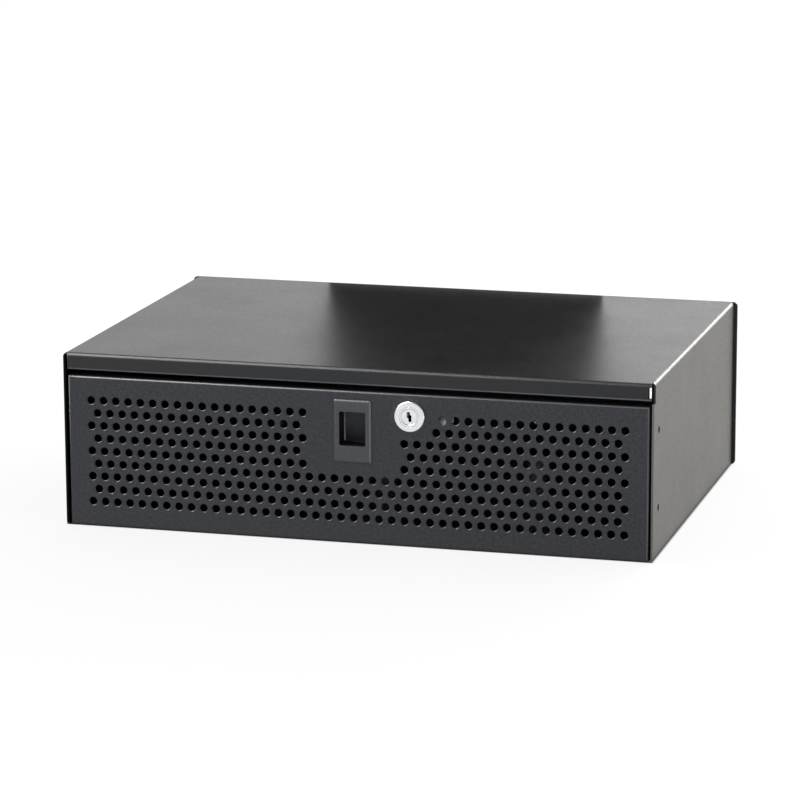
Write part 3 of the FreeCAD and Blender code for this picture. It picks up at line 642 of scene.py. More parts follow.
def buildCover():
    half, top = coverHigh.x, coverHigh.z
    inner = half - sheet
    bend, low, flange, relief = cover["bend"], cover["lowBend"], cover["bottomFlange"], cover["cornerRelief"]
    lipBottom = top - cover["lipHeight"]
    lipHalf = inner - cover["lipEndGap"]
    section = roundedOutline([
        (-half, 0, low), (-half, top, bend), (half, top, bend), (half, 0, low),
        (half - flange, 0, 0), (half - flange, sheet, 0), (inner, sheet, low - sheet),
        (inner, top - sheet, bend - sheet), (-inner, top - sheet, bend - sheet), (-inner, sheet, low - sheet),
        (flange - half, sheet, 0), (flange - half, 0, 0)])
    mesh = meshOf("outerCover", lambda bm: addPrism(bm, "y", front, rear, section))

    def frontCuts(bm):
        ahead = front - cover["notchDepth"]
        addBox(bm, (-inner, ahead, lipBottom - cover["notchDrop"]),
               (2 * half, front + cover["notchDepth"], 2 * top))
        tail = doorHigh.x + cover["tailGap"]
        addBox(bm, (-tail, ahead, -bend), (tail, front + cover["hingeRoom"], bend))
        for side in (1, -1):
            x0, x1 = sorted((side * (half - bend), side * 2 * half))
            addBox(bm, (x0, rear - bend, relief), (x1, rear + bend, top - relief))

    mesh = cut(mesh, frontCuts)

    def rearFlanges(bm):
        reach = half - cover["rearFlange"]
        for side in (1, -1):
            outline = roundedOutline([
                (side * half, rear - 2 * bend, 0), (side * half, rear, bend),
                (side * reach, rear, 0), (side * reach, rear - sheet, 0),
                (side * inner, rear - sheet, bend - sheet), (side * inner, rear - 2 * bend, 0)])
            addPrism(bm, "z", relief, top - relief, outline)

    mesh = joined(mesh, rearFlanges)

    # the lip: a rounded bar, rounded again in plan, hollowed from behind
    back = front + cover["lipReturn"]
    beyond = 2 * back - front
    bar = meshOf("lip", lambda bm: addPrism(bm, "x", -lipHalf, lipHalf, roundedOutline([
        (front, top, bend), (front, lipBottom, cover["lipBend"]), (back, lipBottom, 0), (back, top, 0)])))
    plan = roundedOutline([(-lipHalf, front, low), (lipHalf, front, low), (lipHalf, beyond, 0),
                           (-lipHalf, beyond, 0)])
    bar = combined(bar, lambda bm: addPrism(bm, "z", 0, 2 * top, plan), "INTERSECT")
    bar = cut(bar, lambda bm: addBox(bm, (sheet - lipHalf, front + sheet, lipBottom + sheet),
                                     (lipHalf - sheet, beyond, top - sheet)))
    mesh = joined(mesh, lambda bm: bm.from_mesh(bar))

    def earHoles(bm):
        for side, y, z in earPlaces():
            hole = circle(y, z, cover["earHole"])
            addPrism(bm, "x", side * (half - 2 * sheet), side * (half + sheet), hole)

    piece = newObject("outerCover", cut(mesh, earHoles))
    finish(piece, cover["edge"])
    dress(piece, "case", "black_steel", [coverSteel, cutSteelAndShade], "outer_cover")
    markEdges(piece, inner, lipHalf, lipBottom)


# painted shade on the left wall's sheared front and the lip end's front, which take the dull steel; a painted
# highlight of bright metal on that end's side; and a painted highlight on the fold along the lip and on the
# front of the right wall
def markEdges(piece, inner, lipHalf, lipBottom):
    mesh = piece.data
    bright, paintedHighlight = (mesh.attributes.new(name, "FLOAT", "FACE") for name in ("edge", "paintedHighlight"))
    slack, band, turn = cover["edge"], cover["foldBand"], cover["foldTurn"]
    for face in mesh.polygons:
        spot, way = face.center, face.normal
        onWall = spot.y < front + cover["cutBand"] and abs(spot.x) > inner - slack / 2
        onEnd = (lipHalf - cover["endBand"] < spot.x < lipHalf + slack and spot.z > lipBottom
                 and spot.y < front + cover["endDepth"])
        onFold = (abs(spot.x) < lipHalf - band and spot.y < front + band
                  and lipBottom - slack < spot.z < lipBottom + band and way.y < -turn and way.z < -turn)
        onEndSide = onEnd and way.x > cover["endTurn"]
        # painted shade on the left wall's front and the lip end's front
        if onWall and spot.x < 0 or onEnd and not onEndSide:
            face.material_index = 1
        bright.data[face.index].value = 1.0 if onEndSide else 0.0
        paintedHighlight.data[face.index].value = 1.0 if onFold or onWall and spot.x > 0 else 0.0


buildCover()
print("cover built")


# Door

door = {"fold": 0.002, "flange": 0.012, "flangeFoot": 0.010, "lockHole": 0.00945, "lockFlats": 0.00815,
        "cupFit": 0.0002, "topFold": (0.6, 0.99, 0.1), "sideFold": (0.3, 0.95, 0.3), "sideHighlight": 0.6}
holes = {"Columns": 43, "Rows": 9, "Pitch": 0.00955, "Hole Radius": 0.0029, "Roll": 0.0009, "Sheet": sheet,
         "Centre": (0, front + sheet / 2, (doorLow.z + doorHigh.z) / 2), "Pull Half Width": 0.036,
         "Pull Floor": 0.0523, "Lock": (lockX, front + sheet / 2, lockZ), "Lock Clear": 0.018}


# punches staggered rows through a sheet, leaving the pull and the lock their room
def buildPunchTree():
    tree, given = geometryTree("punchedSheet", holes)
    pitch = given["Pitch"]
    fields = []
    for shift in (0, 1):
        across = minus(tree, given["Columns"], shift)
        upward = maths(tree, "FLOOR", maths(tree, "DIVIDE", plus(tree, given["Rows"], 1 - shift), 2.0))
        grid = add(tree, "GeometryNodeMeshGrid", {
            "Vertices X": across, "Vertices Y": upward,
            "Size X": times(tree, minus(tree, across, 1.0), pitch),
            "Size Y": times(tree, minus(tree, upward, 1.0), times(tree, pitch, 2.0))}).outputs["Mesh"]
        fields.append(moved(tree, grid, given["Centre"], (pi / 2, 0, 0)))
    spot = position(tree)
    part = axes(tree, spot)
    beside = maths(tree, "LESS_THAN", maths(tree, "ABSOLUTE", part["X"]), given["Pull Half Width"])
    above = maths(tree, "GREATER_THAN", part["Z"], given["Pull Floor"])
    gap = add(tree, "ShaderNodeVectorMath", {0: spot, 1: given["Lock"]}, operation="DISTANCE")
    byLock = maths(tree, "LESS_THAN", gap.outputs["Value"], given["Lock Clear"])
    taken = maths(tree, "MAXIMUM", times(tree, beside, above), byLock)
    spots = add(tree, "GeometryNodeDeleteGeometry", {"Geometry": gathered(tree, *fields), "Selection": taken},
                domain="POINT").outputs[0]
    # the punch: three rings, the front one flared so that each hole's rim is rolled
    sides, over = 24, 0.0002
    ring = axes(tree, position(tree))
    flared = maths(tree, "GREATER_THAN", ring["Z"], 0.5)
    behind = maths(tree, "LESS_THAN", ring["Z"], -0.5)
    reach = plus(tree, given["Roll"], over)
    radius = plus(tree, given["Hole Radius"], times(tree, flared, reach))
    level = minus(tree, maths(tree, "DIVIDE", given["Sheet"], 2.0), given["Roll"])
    level = plus(tree, level, times(tree, flared, reach))
    level = minus(tree, level, times(tree, behind, given["Sheet"]))
    placed = along(tree, level, times(tree, ring["X"], radius), times(tree, ring["Y"], radius))
    punch = add(tree, "GeometryNodeSetPosition", {"Geometry": rod(tree, sides, 1.0, 2.0, rings=2),
                                                  "Position": placed}).outputs[0]
    punches = add(tree, "GeometryNodeInstanceOnPoints",
                  {"Points": spots, "Instance": moved(tree, punch, turn=(pi / 2, 0, 0))}).outputs[0]
    punches = add(tree, "GeometryNodeRealizeInstances", {"Geometry": punches}).outputs[0]
    closeTree(tree, given, boolean(tree, "DIFFERENCE", "MANIFOLD", [punches], given["Geometry"]))
    return tree


def buildDoor():
    low, high = doorLow, doorHigh
    back, inner, below = front + door["flange"], front + sheet, low.z - sheet
    beyond = 2 * back - front

    def blank(bm):
        addBox(bm, (low.x, front, low.z), (high.x, back, high.z))
        bmesh.ops.recalc_face_normals(bm, faces=bm.faces)
        folds = [edge for edge in bm.edges if all(abs(vertex.co.y - front) < close for vertex in edge.verts)
                 and max(vertex.co.z for vertex in edge.verts) > low.z + close]
        bmesh.ops.bevel(bm, geom=folds, offset=door["fold"], segments=8, profile=0.5, affect="EDGES")

    # hollow behind the front, with the flanges cut short above the hinge
    def hollow(bm):
        addBox(bm, (low.x + sheet, inner, below), (high.x - sheet, beyond, high.z - sheet))

    def flangeFeet(bm):
        addBox(bm, (2 * low.x, inner, below), (2 * high.x, beyond, door["flangeFoot"]))

    def openings(bm):
        cupLow, cupHigh = pullCup(door["cupFit"])
        addBox(bm, (cupLow.x, front - sheet, cupLow.z), (cupHigh.x, inner + sheet, cupHigh.z))
        flats = door["lockFlats"]
        hole = [Vector((max(lockX - flats, min(lockX + flats, point.x)), point.y))
                for point in circle(lockX, lockZ, door["lockHole"], 48)]
        addPrism(bm, "y", front - sheet, inner + sheet, hole)

    mesh = meshOf("doorPanel", blank)
    for fill in (hollow, flangeFeet, openings):
        mesh = cut(mesh, fill)
    piece = newObject("doorPanel", mesh)
    runTree(piece, buildPunchTree(), {**holes, "Material": doorSteelLit})
    finish(piece, sharp=60)

    # part of a fold, by how far a face has turned outward and how much it still looks forward
    def onFold(outward, forward, least, most, ahead):
        return least < outward < most and forward < -ahead

    # painted highlight along the fold on the top and down the right side
    paintedHighlight = piece.data.attributes.new("paintedHighlight", "FLOAT", "FACE")
    for face in piece.data.polygons:
        spot, way = face.center, face.normal
        onTop = spot.z > high.z - door["fold"] and onFold(way.z, way.y, *door["topFold"])
        onRight = spot.x > high.x - door["fold"] and onFold(way.x, way.y, *door["sideFold"])
        paintedHighlight.data[face.index].value = 1.0 if onTop else door["sideHighlight"] if onRight else 0.0
    dress(piece, "door", "black_steel", [doorSteelLit], "door_panel")


# Finger pull

pull = {"edge": 0.0020, "edgeDepth": 0.75, "corner": 0.0012, "wall": 0.0016, "windowWidth": 0.0196,
        "windowHeight": 0.025, "windowDrop": 0.009, "windowCorner": 0.0011, "cupCorner": 0.002,
        "cupDepth": 0.012, "barb": 0.001, "barbLength": 0.004, "barbHeight": 0.010, "barbGap": 0.0002,
        "rim": 0.0004, "shadowGap": 0.0004, "cornerTurn": 0.5, "edgeTurn": 0.25, "edgeHighlight": 0.35}


# outer box of the cup, or of the door's opening for it
def pullCup(grow=0):
    skin = pull["wall"] + grow
    windowTop = pullHigh.z - pull["windowDrop"]
    half = pull["windowWidth"] / 2 + skin
    return (Vector((-half, front, windowTop - pull["windowHeight"] - skin)),
            Vector((half, front + pull["cupDepth"] + pull["wall"], windowTop + skin)))


def buildPull():
    low, high = pullLow, pullHigh
    cupLow, cupHigh = pullCup()
    edge, wall, rim = pull["edge"], pull["wall"], pull["rim"]

    # bezel as loops that turn over its front edge, with a thin gap left behind its rim
    def bezel(bm):
        gap = pull["shadowGap"]
        places = [(low.y + edge * (1 - cos(turn)) * pull["edgeDepth"], edge * (1 - sin(turn)))
                  for turn in quarterTurn]
        places += [(front - gap, 0), (front - gap, 2 * gap), (front, 2 * gap)]
        addLoft(bm, [insetLoop(y, low, high, inset, pull["corner"]) for y, inset in places])

    def cup(bm):
        outline = roundedRectangle(cupLow.x, cupHigh.x, cupLow.z, cupHigh.z, pull["cupCorner"])
        addPrism(bm, "y", front - sheet / 2, cupHigh.y, outline)

    # window, flared at its rim and slightly drawn towards the back
    def window(bm):
        floor = cupHigh.y - wall
        places = [(low.y - rim, 2 * rim), (low.y, rim), (low.y + 0.3 * rim, 0.3 * rim), (low.y + rim, 0),
                  (floor - 2 * rim, 0), (floor, -2 * rim)]
        addLoft(bm, [insetLoop(y, cupLow, cupHigh, wall - grow, pull["windowCorner"]) for y, grow in places])

    def barbs(bm):
        middle, half = (cupLow.z + cupHigh.z) / 2, pull["barbHeight"] / 2
        start = front + sheet + pull["barbGap"]
        end = start + pull["barbLength"]
        for side in (1, -1):
            wedge = [Vector((side * (cupHigh.x + out), y)) for out, y in (
                (-wall / 2, start), (pull["barb"], start), (0.2 * pull["barb"], end), (-wall / 2, end))]
            addPrism(bm, "z", middle - half, middle + half, wedge)

    mesh = cut(joined(meshOf("fingerPull", bezel), cup), window)
    piece = newObject("fingerPull", joined(mesh, barbs))
    finish(piece)
    dress(piece, "door", "pull_plastic", [pullPlastic, cupPlastic], "finger_pull")
    # painted highlight on the cup's left corner and on the bezel's right edge
    paintedPullHighlight = piece.data.attributes.new("paintedPullHighlight", "FLOAT", "FACE")
    skin, turn = wall / 2, pull["cornerTurn"]
    for face in piece.data.polygons:
        spot, way = face.center, face.normal
        within = (cupLow.x + skin < spot.x < cupHigh.x - skin and cupLow.z + skin < spot.z < cupHigh.z - skin
                  and front < spot.y < cupHigh.y - skin)
        inCorner = within and way.x > turn and way.y < -turn and spot.y > front + pull["cupDepth"] / 2
        onEdge = spot.x > high.x - edge and way.x > pull["edgeTurn"] and spot.y < front
        face.material_index = 1 if within else 0
        paintedPullHighlight.data[face.index].value = 1.0 if inCorner else pull["edgeHighlight"] if onEdge else 0.0


buildDoor()
print("door built")
buildPull()
print("pull built")


# Cam lock

lock = {"headRadius": 0.01125, "headEdge": 0.0002, "rim": 0.0010, "dish": 0.00015, "ring": 0.0074,
        "ringWidth": 0.0003, "bore": 0.00605, "boreLead": 0.0003, "boreStart": 0.0004, "barrel": 0.0093,
        "flats": 0.0080, "threadPitch": 0.0010, "threadDepth": 0.00035, "threadStart": 0.0022,
        "unthreaded": 0.003, "endDrop": 0.0005, "endLength": 0.0006, "plugRadius": 0.0060,
        "plugEdge": 0.00035, "core": 0.0004, "camGap": 0.0003, "drive": 0.0035, "keyDepth": 0.0105,
        "keyway": [(-0.0019, 0.0036), (0.0004, 0.0036), (0.0006, 0.0017), (0.0017, 0.0010), (0.0017, -0.0036),
                   (-0.0005, -0.0036), (-0.0006, -0.0011), (-0.0019, -0.0005)]}


# head with a dished face and a ring groove, then the threaded barrel
def buildLockBody():
    face, end = lockLow.y, lockHigh.y
    radius, rim, edge, bore = lock["headRadius"], lock["rim"], lock["headEdge"], lock["bore"]
    dish, ring, width = lock["dish"], lock["ring"], lock["ringWidth"]
    barrel, pitch = lock["barrel"], lock["threadPitch"]
    profile = [(bore, end), (bore, face + lock["boreStart"]), (bore + lock["boreLead"], face + dish),
               (ring - width, face + dish), (ring - 0.4 * width, face + 2 * width),
               (ring + 0.4 * width, face + 2 * width), (ring + width, face + dish / 2)]
    profile += [(radius - rim + rim * sin(turn), face + rim * (1 - cos(turn))) for turn in quarterTurn]
    profile += [(radius, front - edge), (radius - edge, front), (barrel, front)]
    for turn in range(int((end - front - lock["unthreaded"]) / pitch)):
        start = front + lock["threadStart"] + turn * pitch
        profile += [(barrel, start), (barrel - lock["threadDepth"], start + pitch / 2)]
    profile += [(barrel, end - lock["endLength"]), (barrel - lock["endDrop"], end)]
    mesh = meshOf("lockBody", lambda bm: addTurned(bm, lockX, lockZ, profile, 72, ring=True))

    def flats(bm):
        for side in (1, -1):
            x0, x1 = sorted((lockX + side * lock["flats"], lockX + side * 2 * radius))
            addBox(bm, (x0, front, lockZ - 2 * radius), (x1, end + rim, lockZ + 2 * radius))

    piece = newObject("lockBody", cut(mesh, flats))
    finish(piece)
    dress(piece, "door", "lock_chrome", [lockChrome], "lock_body")


def buildLockPlug():
    low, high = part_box("lock_plug")
    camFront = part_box("lock_cam")[0].y
    edge, radius, core, gap = lock["plugEdge"], lock["plugRadius"], lock["core"], lock["camGap"]
    profile = [(core, low.y), (radius - edge, low.y), (radius - 0.3 * edge, low.y + 0.3 * edge),
               (radius, low.y + edge), (radius, camFront - edge), (radius - edge, camFront - gap),
               (core, camFront - gap)]
    mesh = meshOf("lockPlug", lambda bm: addTurned(bm, lockX, lockZ, profile))
    keyway = [Vector((lockX + u, lockZ + v)) for u, v in lock["keyway"]]
    keyEnd = low.y + lock["keyDepth"]
    mesh = cut(mesh, lambda bm: addPrism(bm, "y", low.y - edge, keyEnd, keyway))

    def drive(bm):
        size = lock["drive"]
        addBox(bm, (lockX - size, camFront - 2 * gap, lockZ - size), (lockX + size, high.y, lockZ + size))

    piece = newObject("lockPlug", joined(mesh, drive))
    finish(piece)
    depth = piece.data.attributes.new("depth", "FLOAT", "POINT")
    for item, vertex in zip(depth.data, piece.data.vertices):
        item.value = 1.0 if abs(vertex.co.y - keyEnd) < close else 0.0
    dress(piece, "lock_cylinder", "lock_chrome", [lockChrome], "lock_plug")


buildLockBody()
buildLockPlug()
print("lock built")


# Screws and threaded inserts

panHead = {"Head Radius": 0.004, "Head Height": 0.0024, "Shank Radius": 0.002, "Shank Length": 0.003,
           "Recess Width": 0.0008, "Recess Depth": 0.0013}
camHead = {"Head Radius": 0.0055, "Shank Length": 0.008, "Recess Width": 0.0011}
screw = {"sideInset": 0.027, "sideX": 0.21275, "upstandX": 0.150, "upstandZ": 0.012, "floorX": 0.21325,
         "floorInset": 0.040, "floorTop": 0.003}


# pan head with a cross recess, its underside at the point and its head the way the point faces
def buildScrewTree():
    tree, given = geometryTree("panScrews", panHead)
    headSides, shankSides, dome = 18, 12, 0.3
    height, length, wide = given["Head Height"], given["Shank Length"], given["Recess Width"]
    part = axes(tree, position(tree))
    rise = plus(tree, maths(tree, "DIVIDE", part["Z"], height), 0.5)
    draw = minus(tree, 1.0, times(tree, maths(tree, "POWER", rise, 3.0), dome))
    domed = along(tree, times(tree, rise, height), times(tree, part["X"], draw), times(tree, part["Y"], draw))
    head = add(tree, "GeometryNodeSetPosition", {
        "Geometry": rod(tree, headSides, given["Head Radius"], height, rings=3),
        "Position": domed}).outputs[0]
    deep = times(tree, given["Recess Depth"], 2.0)
    long = times(tree, given["Head Radius"], 1.05)
    bars = []
    for size in ((long, wide), (wide, long)):
        bar = add(tree, "GeometryNodeMeshCube", {"Size": along(tree, deep, *size)}).outputs["Mesh"]
        bars.append(moved(tree, bar, along(tree, height)))
    crossed = boolean(tree, "DIFFERENCE", "MANIFOLD", bars, head)
    shank = rod(tree, shankSides, given["Shank Radius"], length)
    shank = moved(tree, shank, along(tree, times(tree, length, -0.5)))
    closeTree(tree, given, onPoints(tree, given["Geometry"], gathered(tree, crossed, shank)))
    return tree


screwTree = buildScrewTree()


def buildScrews(name, spots, sizes, body, node):
    piece = newObject(name, pointMesh(name, spots))
    runTree(piece, screwTree, {**panHead, **sizes, "Material": zincSteel})
    finish(piece)
    dress(piece, body, "zinc_steel", [zincSteel], node)


# rear screws go in from behind, floor screws from above, and one holds the cam
def buildAllScrews():
    back, top = plateHigh.y, coverHigh.z
    behind, above = (0, 1, 0), (0, 0, 1)
    rearSpots = [((side * screw["sideX"], back, z), behind) for side in (1, -1)
                 for z in (screw["sideInset"], top / 2, top - screw["sideInset"])]
    rearSpots += [((side * screw["upstandX"], back, screw["upstandZ"]), behind) for side in (1, -1)]
    floorSpots = [((side * screw["floorX"], y, screw["floorTop"]), above) for side in (1, -1)
                  for y in (front + screw["floorInset"], (front + rear) / 2, rear - screw["floorInset"])]
    camSpot = ((lockX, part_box("lock_cam")[1].y, lockZ), behind)
    buildScrews("rearScrews", rearSpots, {"Shank Length": back - rear + sheet}, "case", "rear_screws")
    buildScrews("floorScrews", floorSpots, {"Shank Length": screw["floorTop"]}, "case", "floor_screws")
    buildScrews("camScrew", [camSpot], camHead, "lock_cylinder", "cam_screw")


insert = {"Bore": 0.0020, "Shank": 0.00255, "Wall": sheet, "Flange": 0.0040, "Flange Height": 0.0030,
          "Lead": 0.0004}


# threaded insert seen from outside: a thin ring in the wall, its body behind
def buildInsertTree():
    tree, given = geometryTree("wallInserts", insert)
    sides, lap = 18, 1.2
    wall, height, lead = given["Wall"], given["Flange Height"], given["Lead"]
    shank = rod(tree, sides, given["Shank"], times(tree, wall, lap))
    shank = moved(tree, shank, along(tree, times(tree, wall, -lap / 2)))
    drop = plus(tree, wall, maths(tree, "DIVIDE", height, 2.0))
    flange = moved(tree, rod(tree, sides, given["Flange"], height), along(tree, times(tree, drop, -1.0)))
    body = boolean(tree, "UNION", "EXACT", [shank, flange])
    bore = rod(tree, sides, given["Bore"], times(tree, plus(tree, wall, height), 4.0))
    deep = times(tree, lead, 2.0)
    sink = add(tree, "GeometryNodeMeshCone", {
        "Vertices": sides, "Radius Top": plus(tree, given["Bore"], deep), "Radius Bottom": given["Bore"],
        "Depth": deep}).outputs["Mesh"]
    sink = moved(tree, sink, along(tree, times(tree, lead, -1.0)))
    tapped = boolean(tree, "DIFFERENCE", "EXACT", [bore, sink], body)
    closeTree(tree, given, onPoints(tree, given["Geometry"], tapped))
    return tree


def buildInserts():
    spots = [((side * coverHigh.x, y, z), (side, 0, 0)) for side, y, z in earPlaces()]
    piece = newObject("wallInserts", pointMesh("wallInserts", spots))
    runTree(piece, buildInsertTree(), {**insert, "Material": cutSteelAndShade})
    finish(piece)
    dress(piece, "case", "black_steel", [cutSteelAndShade], "ear_nuts")


buildAllScrews()
buildInserts()
print("fasteners built")


# Continuous hinge

knuckle = {"Count": 10, "Pitch": 0.019, "Gap": 0.0003, "Radius": 0.0025, "Bore": 0.0013, "Start": (0, 0, 0)}
hinge = {"count": 19, "leaf": 0.001, "doorLeaf": 0.0095, "tabStart": 0.0004, "y": 0.0043, "z": 0.0050,
         "reach": 0.02295}


# a row of rolled knuckles along x, every second place, joined to a leaf
def buildKnuckleTree():
    tree, given = geometryTree("knuckleRow", knuckle)
    rollSides, boreSides = 28, 20
    length = minus(tree, given["Pitch"], given["Gap"])
    line = add(tree, "GeometryNodeMeshLine", {
        "Count": given["Count"], "Start Location": given["Start"],
        "Offset": along(tree, 0.0, times(tree, given["Pitch"], 2.0))}).outputs["Mesh"]
    bore = rod(tree, boreSides, given["Bore"], times(tree, length, 2.0))
    tube = boolean(tree, "DIFFERENCE", "EXACT", [bore], rod(tree, rollSides, given["Radius"], length))
    row = add(tree, "GeometryNodeInstanceOnPoints",
              {"Points": line, "Instance": moved(tree, tube, turn=(0, pi / 2, 0))}).outputs[0]
    closeTree(tree, given, gathered(tree, row, given["Geometry"]))
    return tree


def buildHinge():
    tree = buildKnuckleTree()
    count, leaf, tab, z = hinge["count"], hinge["leaf"], hinge["tabStart"], hinge["z"]
    pitch, gap, radius = knuckle["Pitch"], knuckle["Gap"], knuckle["Radius"]
    first, y, inner = -count * pitch / 2, front + hinge["y"], front + sheet
    clear, bed = radius + gap, z + radius - leaf

    def tabs(bm, start, y0, y1, z0, z1):
        for place in range(start, count, 2):
            x = first + place * pitch + gap / 2
            addBox(bm, (x, y0, z0), (x + pitch - gap, y1, z1))

    def doorLeaf(bm):
        addBox(bm, (first, inner, z + clear), (-first, inner + leaf, z + hinge["doorLeaf"]))
        tabs(bm, 1, inner, inner + leaf, z + tab, z + clear)

    def bodyLeaf(bm):
        addBox(bm, (first, y + clear, bed), (-first, front + hinge["reach"], bed + leaf))
        tabs(bm, 0, y + tab, y + clear, bed, bed + leaf)

    for name, fill, start, body, node in (("hingeLeafDoor", doorLeaf, 1, "door", "hinge_leaf_door"),
                                          ("hingeLeafBody", bodyLeaf, 0, "case", "hinge_leaf_body")):
        piece = newObject(name, meshOf(name, fill))
        runTree(piece, tree, {**knuckle, "Count": (count + 1) // 2 - start, "Material": blackSteel,
                              "Start": (first + (start + 0.5) * pitch, y, z)})
        finish(piece)
        dress(piece, body, "black_steel", [blackSteel], node)


buildHinge()
print("hinge built")


# Rubber edging of the cable ports

edging = {"width": 0.100, "height": 0.050, "corner": 0.008, "place": 0.150, "z": 0.075, "wall": 0.0016,
          "lap": 0.003, "fit": 0.0001, "soft": 0.0006}


# box of a cable port in the rear plate
def portBox(side):
    x, z, half, rise = side * edging["place"], edging["z"], edging["width"] / 2, edging["height"] / 2
    return Vector((x - half, plateLow.y, z - rise)), Vector((x + half, plateHigh.y, z + rise))


def buildEdging(name, side, node):
    wall, lap, fit, soft = edging["wall"], edging["lap"], edging["fit"], edging["soft"]
    low, high = portBox(side)
    inside, ahead, behind = -(fit + wall), low.y - wall, high.y + wall
    section = roundedOutline([
        (inside, ahead, soft), (lap, ahead, soft), (lap, low.y, 0.3 * soft), (-fit, low.y, 0),
        (-fit, high.y, 0), (lap, high.y, 0.3 * soft), (lap, behind, soft), (inside, behind, soft)], 5)
    loops = [insetLoop(y, low, high, -grow, edging["corner"] + grow) for grow, y in section]
    piece = newObject(name, meshOf(name, lambda bm: addLoft(bm, loops, closed=True)))
    finish(piece)
    dress(piece, "case", "black_rubber", [blackRubber], node)


buildEdging("portEdgingRight", 1, "cable_grommet_right")
buildEdging("portEdgingLeft", -1, "cable_grommet_left")
print("edging built")


# Camera, floor and light

view = {"place": (0.73179, -2.67126, 0.69301), "aim": (-0.00751, -0.00035, 0.07243), "roll": -0.215,
        "lens": 167.54}


def aimed(place, aim):
    place = Vector(place)
    look = (Vector(aim) - place).to_track_quat("-Z", "Y").to_matrix().to_4x4()
    return Matrix.Translation(place) @ look


def buildCamera():
    data = bpy.data.cameras.new("camera")
    data.sensor_width = 36.0
    data.lens = view["lens"]
    data.clip_end = 50.0
    camera = newObject("camera", data)
    camera.matrix_world = aimed(view["place"], view["aim"]) @ Matrix.Rotation(radians(view["roll"]), 4, "Z")
    scene.camera = camera


# flat card from its four corners
def newCard(name, corners, material):
    mesh = bpy.data.meshes.new(name)
    mesh.from_pydata(corners, [], [(0, 1, 2, 3)])
    mesh.materials.append(material)
    return newObject(name, mesh)


studio = {"floorSize": 60.0, "floorColour": 0.3, "seenGlow": 0.82, "mirrorGlow": 0.68,
          "seenFrom": (-0.001, 0.001), "mirrorFrom": (0.0005, 0.004), "backFrom": (-0.2, -0.12),
          "rightFrom": (-0.05, 0.3), "coolLeft": (1.08, 1.12, 1.22), "coolRight": (0.70, 0.72, 0.79),
          "warmBack": (1.36, 1.32, 1.21)}


# plain white to the camera, cool in front and warm behind in reflections, with a painted shadow under the box
def buildFloor():
    material, tree, shader = newMaterial("paleFloor")
    path = add(tree, "ShaderNodeLightPath").outputs
    camera = path["Is Camera Ray"]
    mirrored = maths(tree, "MAXIMUM", path["Is Glossy Ray"], path["Is Transmission Ray"])
    where = axes(tree, objectPlace(tree))
    across = ramp(tree, where["X"], *studio["rightFrom"])
    behind = ramp(tree, where["Y"], *studio["backFrom"])
    tint = mixColour(tree, across, studio["coolLeft"], studio["coolRight"])
    tint = mixColour(tree, behind, tint, studio["warmBack"])
    # painted shadow: the glow fades out under the box's footprint, to the camera and in reflections
    outside = [minus(tree, maths(tree, "ABSOLUTE", where[axis]), reach)
               for axis, reach in (("X", coverHigh.x), ("Y", plateHigh.y))]
    away = maths(tree, "MAXIMUM", *outside)
    seen = ramp(tree, away, *studio["seenFrom"], 0.0, studio["seenGlow"])
    met = ramp(tree, away, *studio["mirrorFrom"], 0.0, studio["mirrorGlow"])
    feed(tree, shader, {
        "Base Color": (*[studio["floorColour"]] * 3, 1), "Roughness": 1.0, "Specular IOR Level": 0.0,
        "Emission Color": mixColour(tree, camera, tint, (1, 1, 1)),
        "Emission Strength": plus(tree, times(tree, camera, seen), times(tree, mirrored, met))})
    half = studio["floorSize"] / 2
    corners = [(-half, -half, 0), (half, -half, 0), (half, half, 0), (-half, half, 0)]
    floor = newCard("floor", corners, material)


# axis, then where a band starts and ends along it, and the light before and after
room = {"level": 1.1, "overhead": ("Z", 0.3, 0.65, 1.0, 0.3), "forward": ("Y", -0.8, 0.0, 0.35, 1.0),
        "sideways": ("X", -0.34, -0.16, 1.12, 1.76)}


# white room: darker overhead and in front, lighter to the right
def buildWorld():
    world = bpy.data.worlds.new("studio")
    scene.world = world
    world.use_nodes = True
    tree = world.node_tree
    way = axes(tree, add(tree, "ShaderNodeTexCoord").outputs["Generated"])
    level = room["level"]
    for axis, *band in (room["overhead"], room["forward"], room["sideways"]):
        level = times(tree, ramp(tree, way[axis], *band, kind="SMOOTHSTEP"), level)
    camera = add(tree, "ShaderNodeLightPath").outputs["Is Camera Ray"]
    backdrop = next(node for node in tree.nodes if node.type == "BACKGROUND")
    feed(tree, backdrop, {"Color": (1, 1, 1, 1), "Strength": ramp(tree, camera, low=level)})


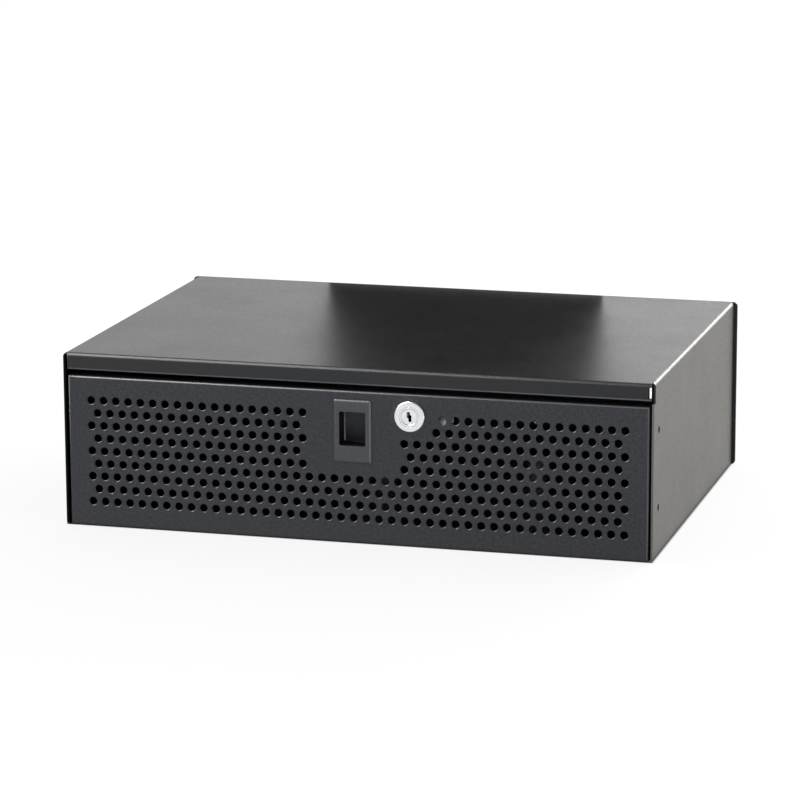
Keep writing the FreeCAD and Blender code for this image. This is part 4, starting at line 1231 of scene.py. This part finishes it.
lamps = {
    "overhead": {"place": (-1.45, -1.1, 1.6), "aim": (-1.45, -1.1, 0), "size": (1.9, 2.2), "power": 144.0,
                 "colour": (1.0, 0.99, 0.98), "reflected": True},
    "left": {"place": (-1.48, -0.25, 1.1), "aim": (0, -0.15, 0.06), "size": (1.0, 1.0), "power": 42.0,
             "colour": (0.98, 0.99, 1.0), "reflected": True},
    "right": {"place": (0.71, -0.27, 0.002), "aim": (0.71, -0.27, 1), "size": (0.7, 0.4), "power": 2.4,
              "colour": (1.0, 0.98, 0.95), "reflected": False},
    "rim": {"place": (0.62, 1.75, 0.62), "aim": (0.22, 0, 0.13), "size": (0.8, 0.5), "power": 11.0,
            "colour": (1.0, 0.98, 0.95), "reflected": False},
}


# reflected ones are soft boxes that only lend the folds and edges their highlights
def buildLamps():
    for name, lamp in lamps.items():
        data = bpy.data.lights.new(name, "AREA")
        data.shape = "RECTANGLE"
        data.size, data.size_y = lamp["size"]
        data.energy = lamp["power"]
        data.color = lamp["colour"]
        light = newObject(name, data)
        light.visible_camera = False
        light.visible_diffuse = not lamp["reflected"]
        light.matrix_world = aimed(lamp["place"], lamp["aim"])


flag = {"half": 0.113, "gap": 0.012, "foot": 0.132, "top": 0.55, "colour": (0.01, 0.01, 0.01, 1)}


# black flags the camera does not see: one behind the box deepens the middle of the top, met by
# reflections alone, and one in each cable port keeps the inside dark
def buildFlags():
    material, tree, shader = newMaterial("flagCloth")
    feed(tree, shader, {"Base Color": flag["colour"], "Specular IOR Level": 0.0})
    behind, within = plateHigh.y + flag["gap"], (plateLow.y + plateHigh.y) / 2
    spans = [(-flag["half"], flag["half"], behind, flag["foot"], flag["top"], False)]
    for low, high in (portBox(1), portBox(-1)):
        spans.append((low.x, high.x, within, low.z, high.z, True))
    for x0, x1, y, z0, z1, shades in spans:
        card = newCard("flag", [(x0, y, z0), (x1, y, z0), (x1, y, z1), (x0, y, z1)], material)
        card.visible_camera = card.visible_transmission = False
        card.visible_diffuse = card.visible_shadow = shades


buildCamera()
buildFloor()
buildWorld()
buildLamps()
buildFlags()
print("studio set")
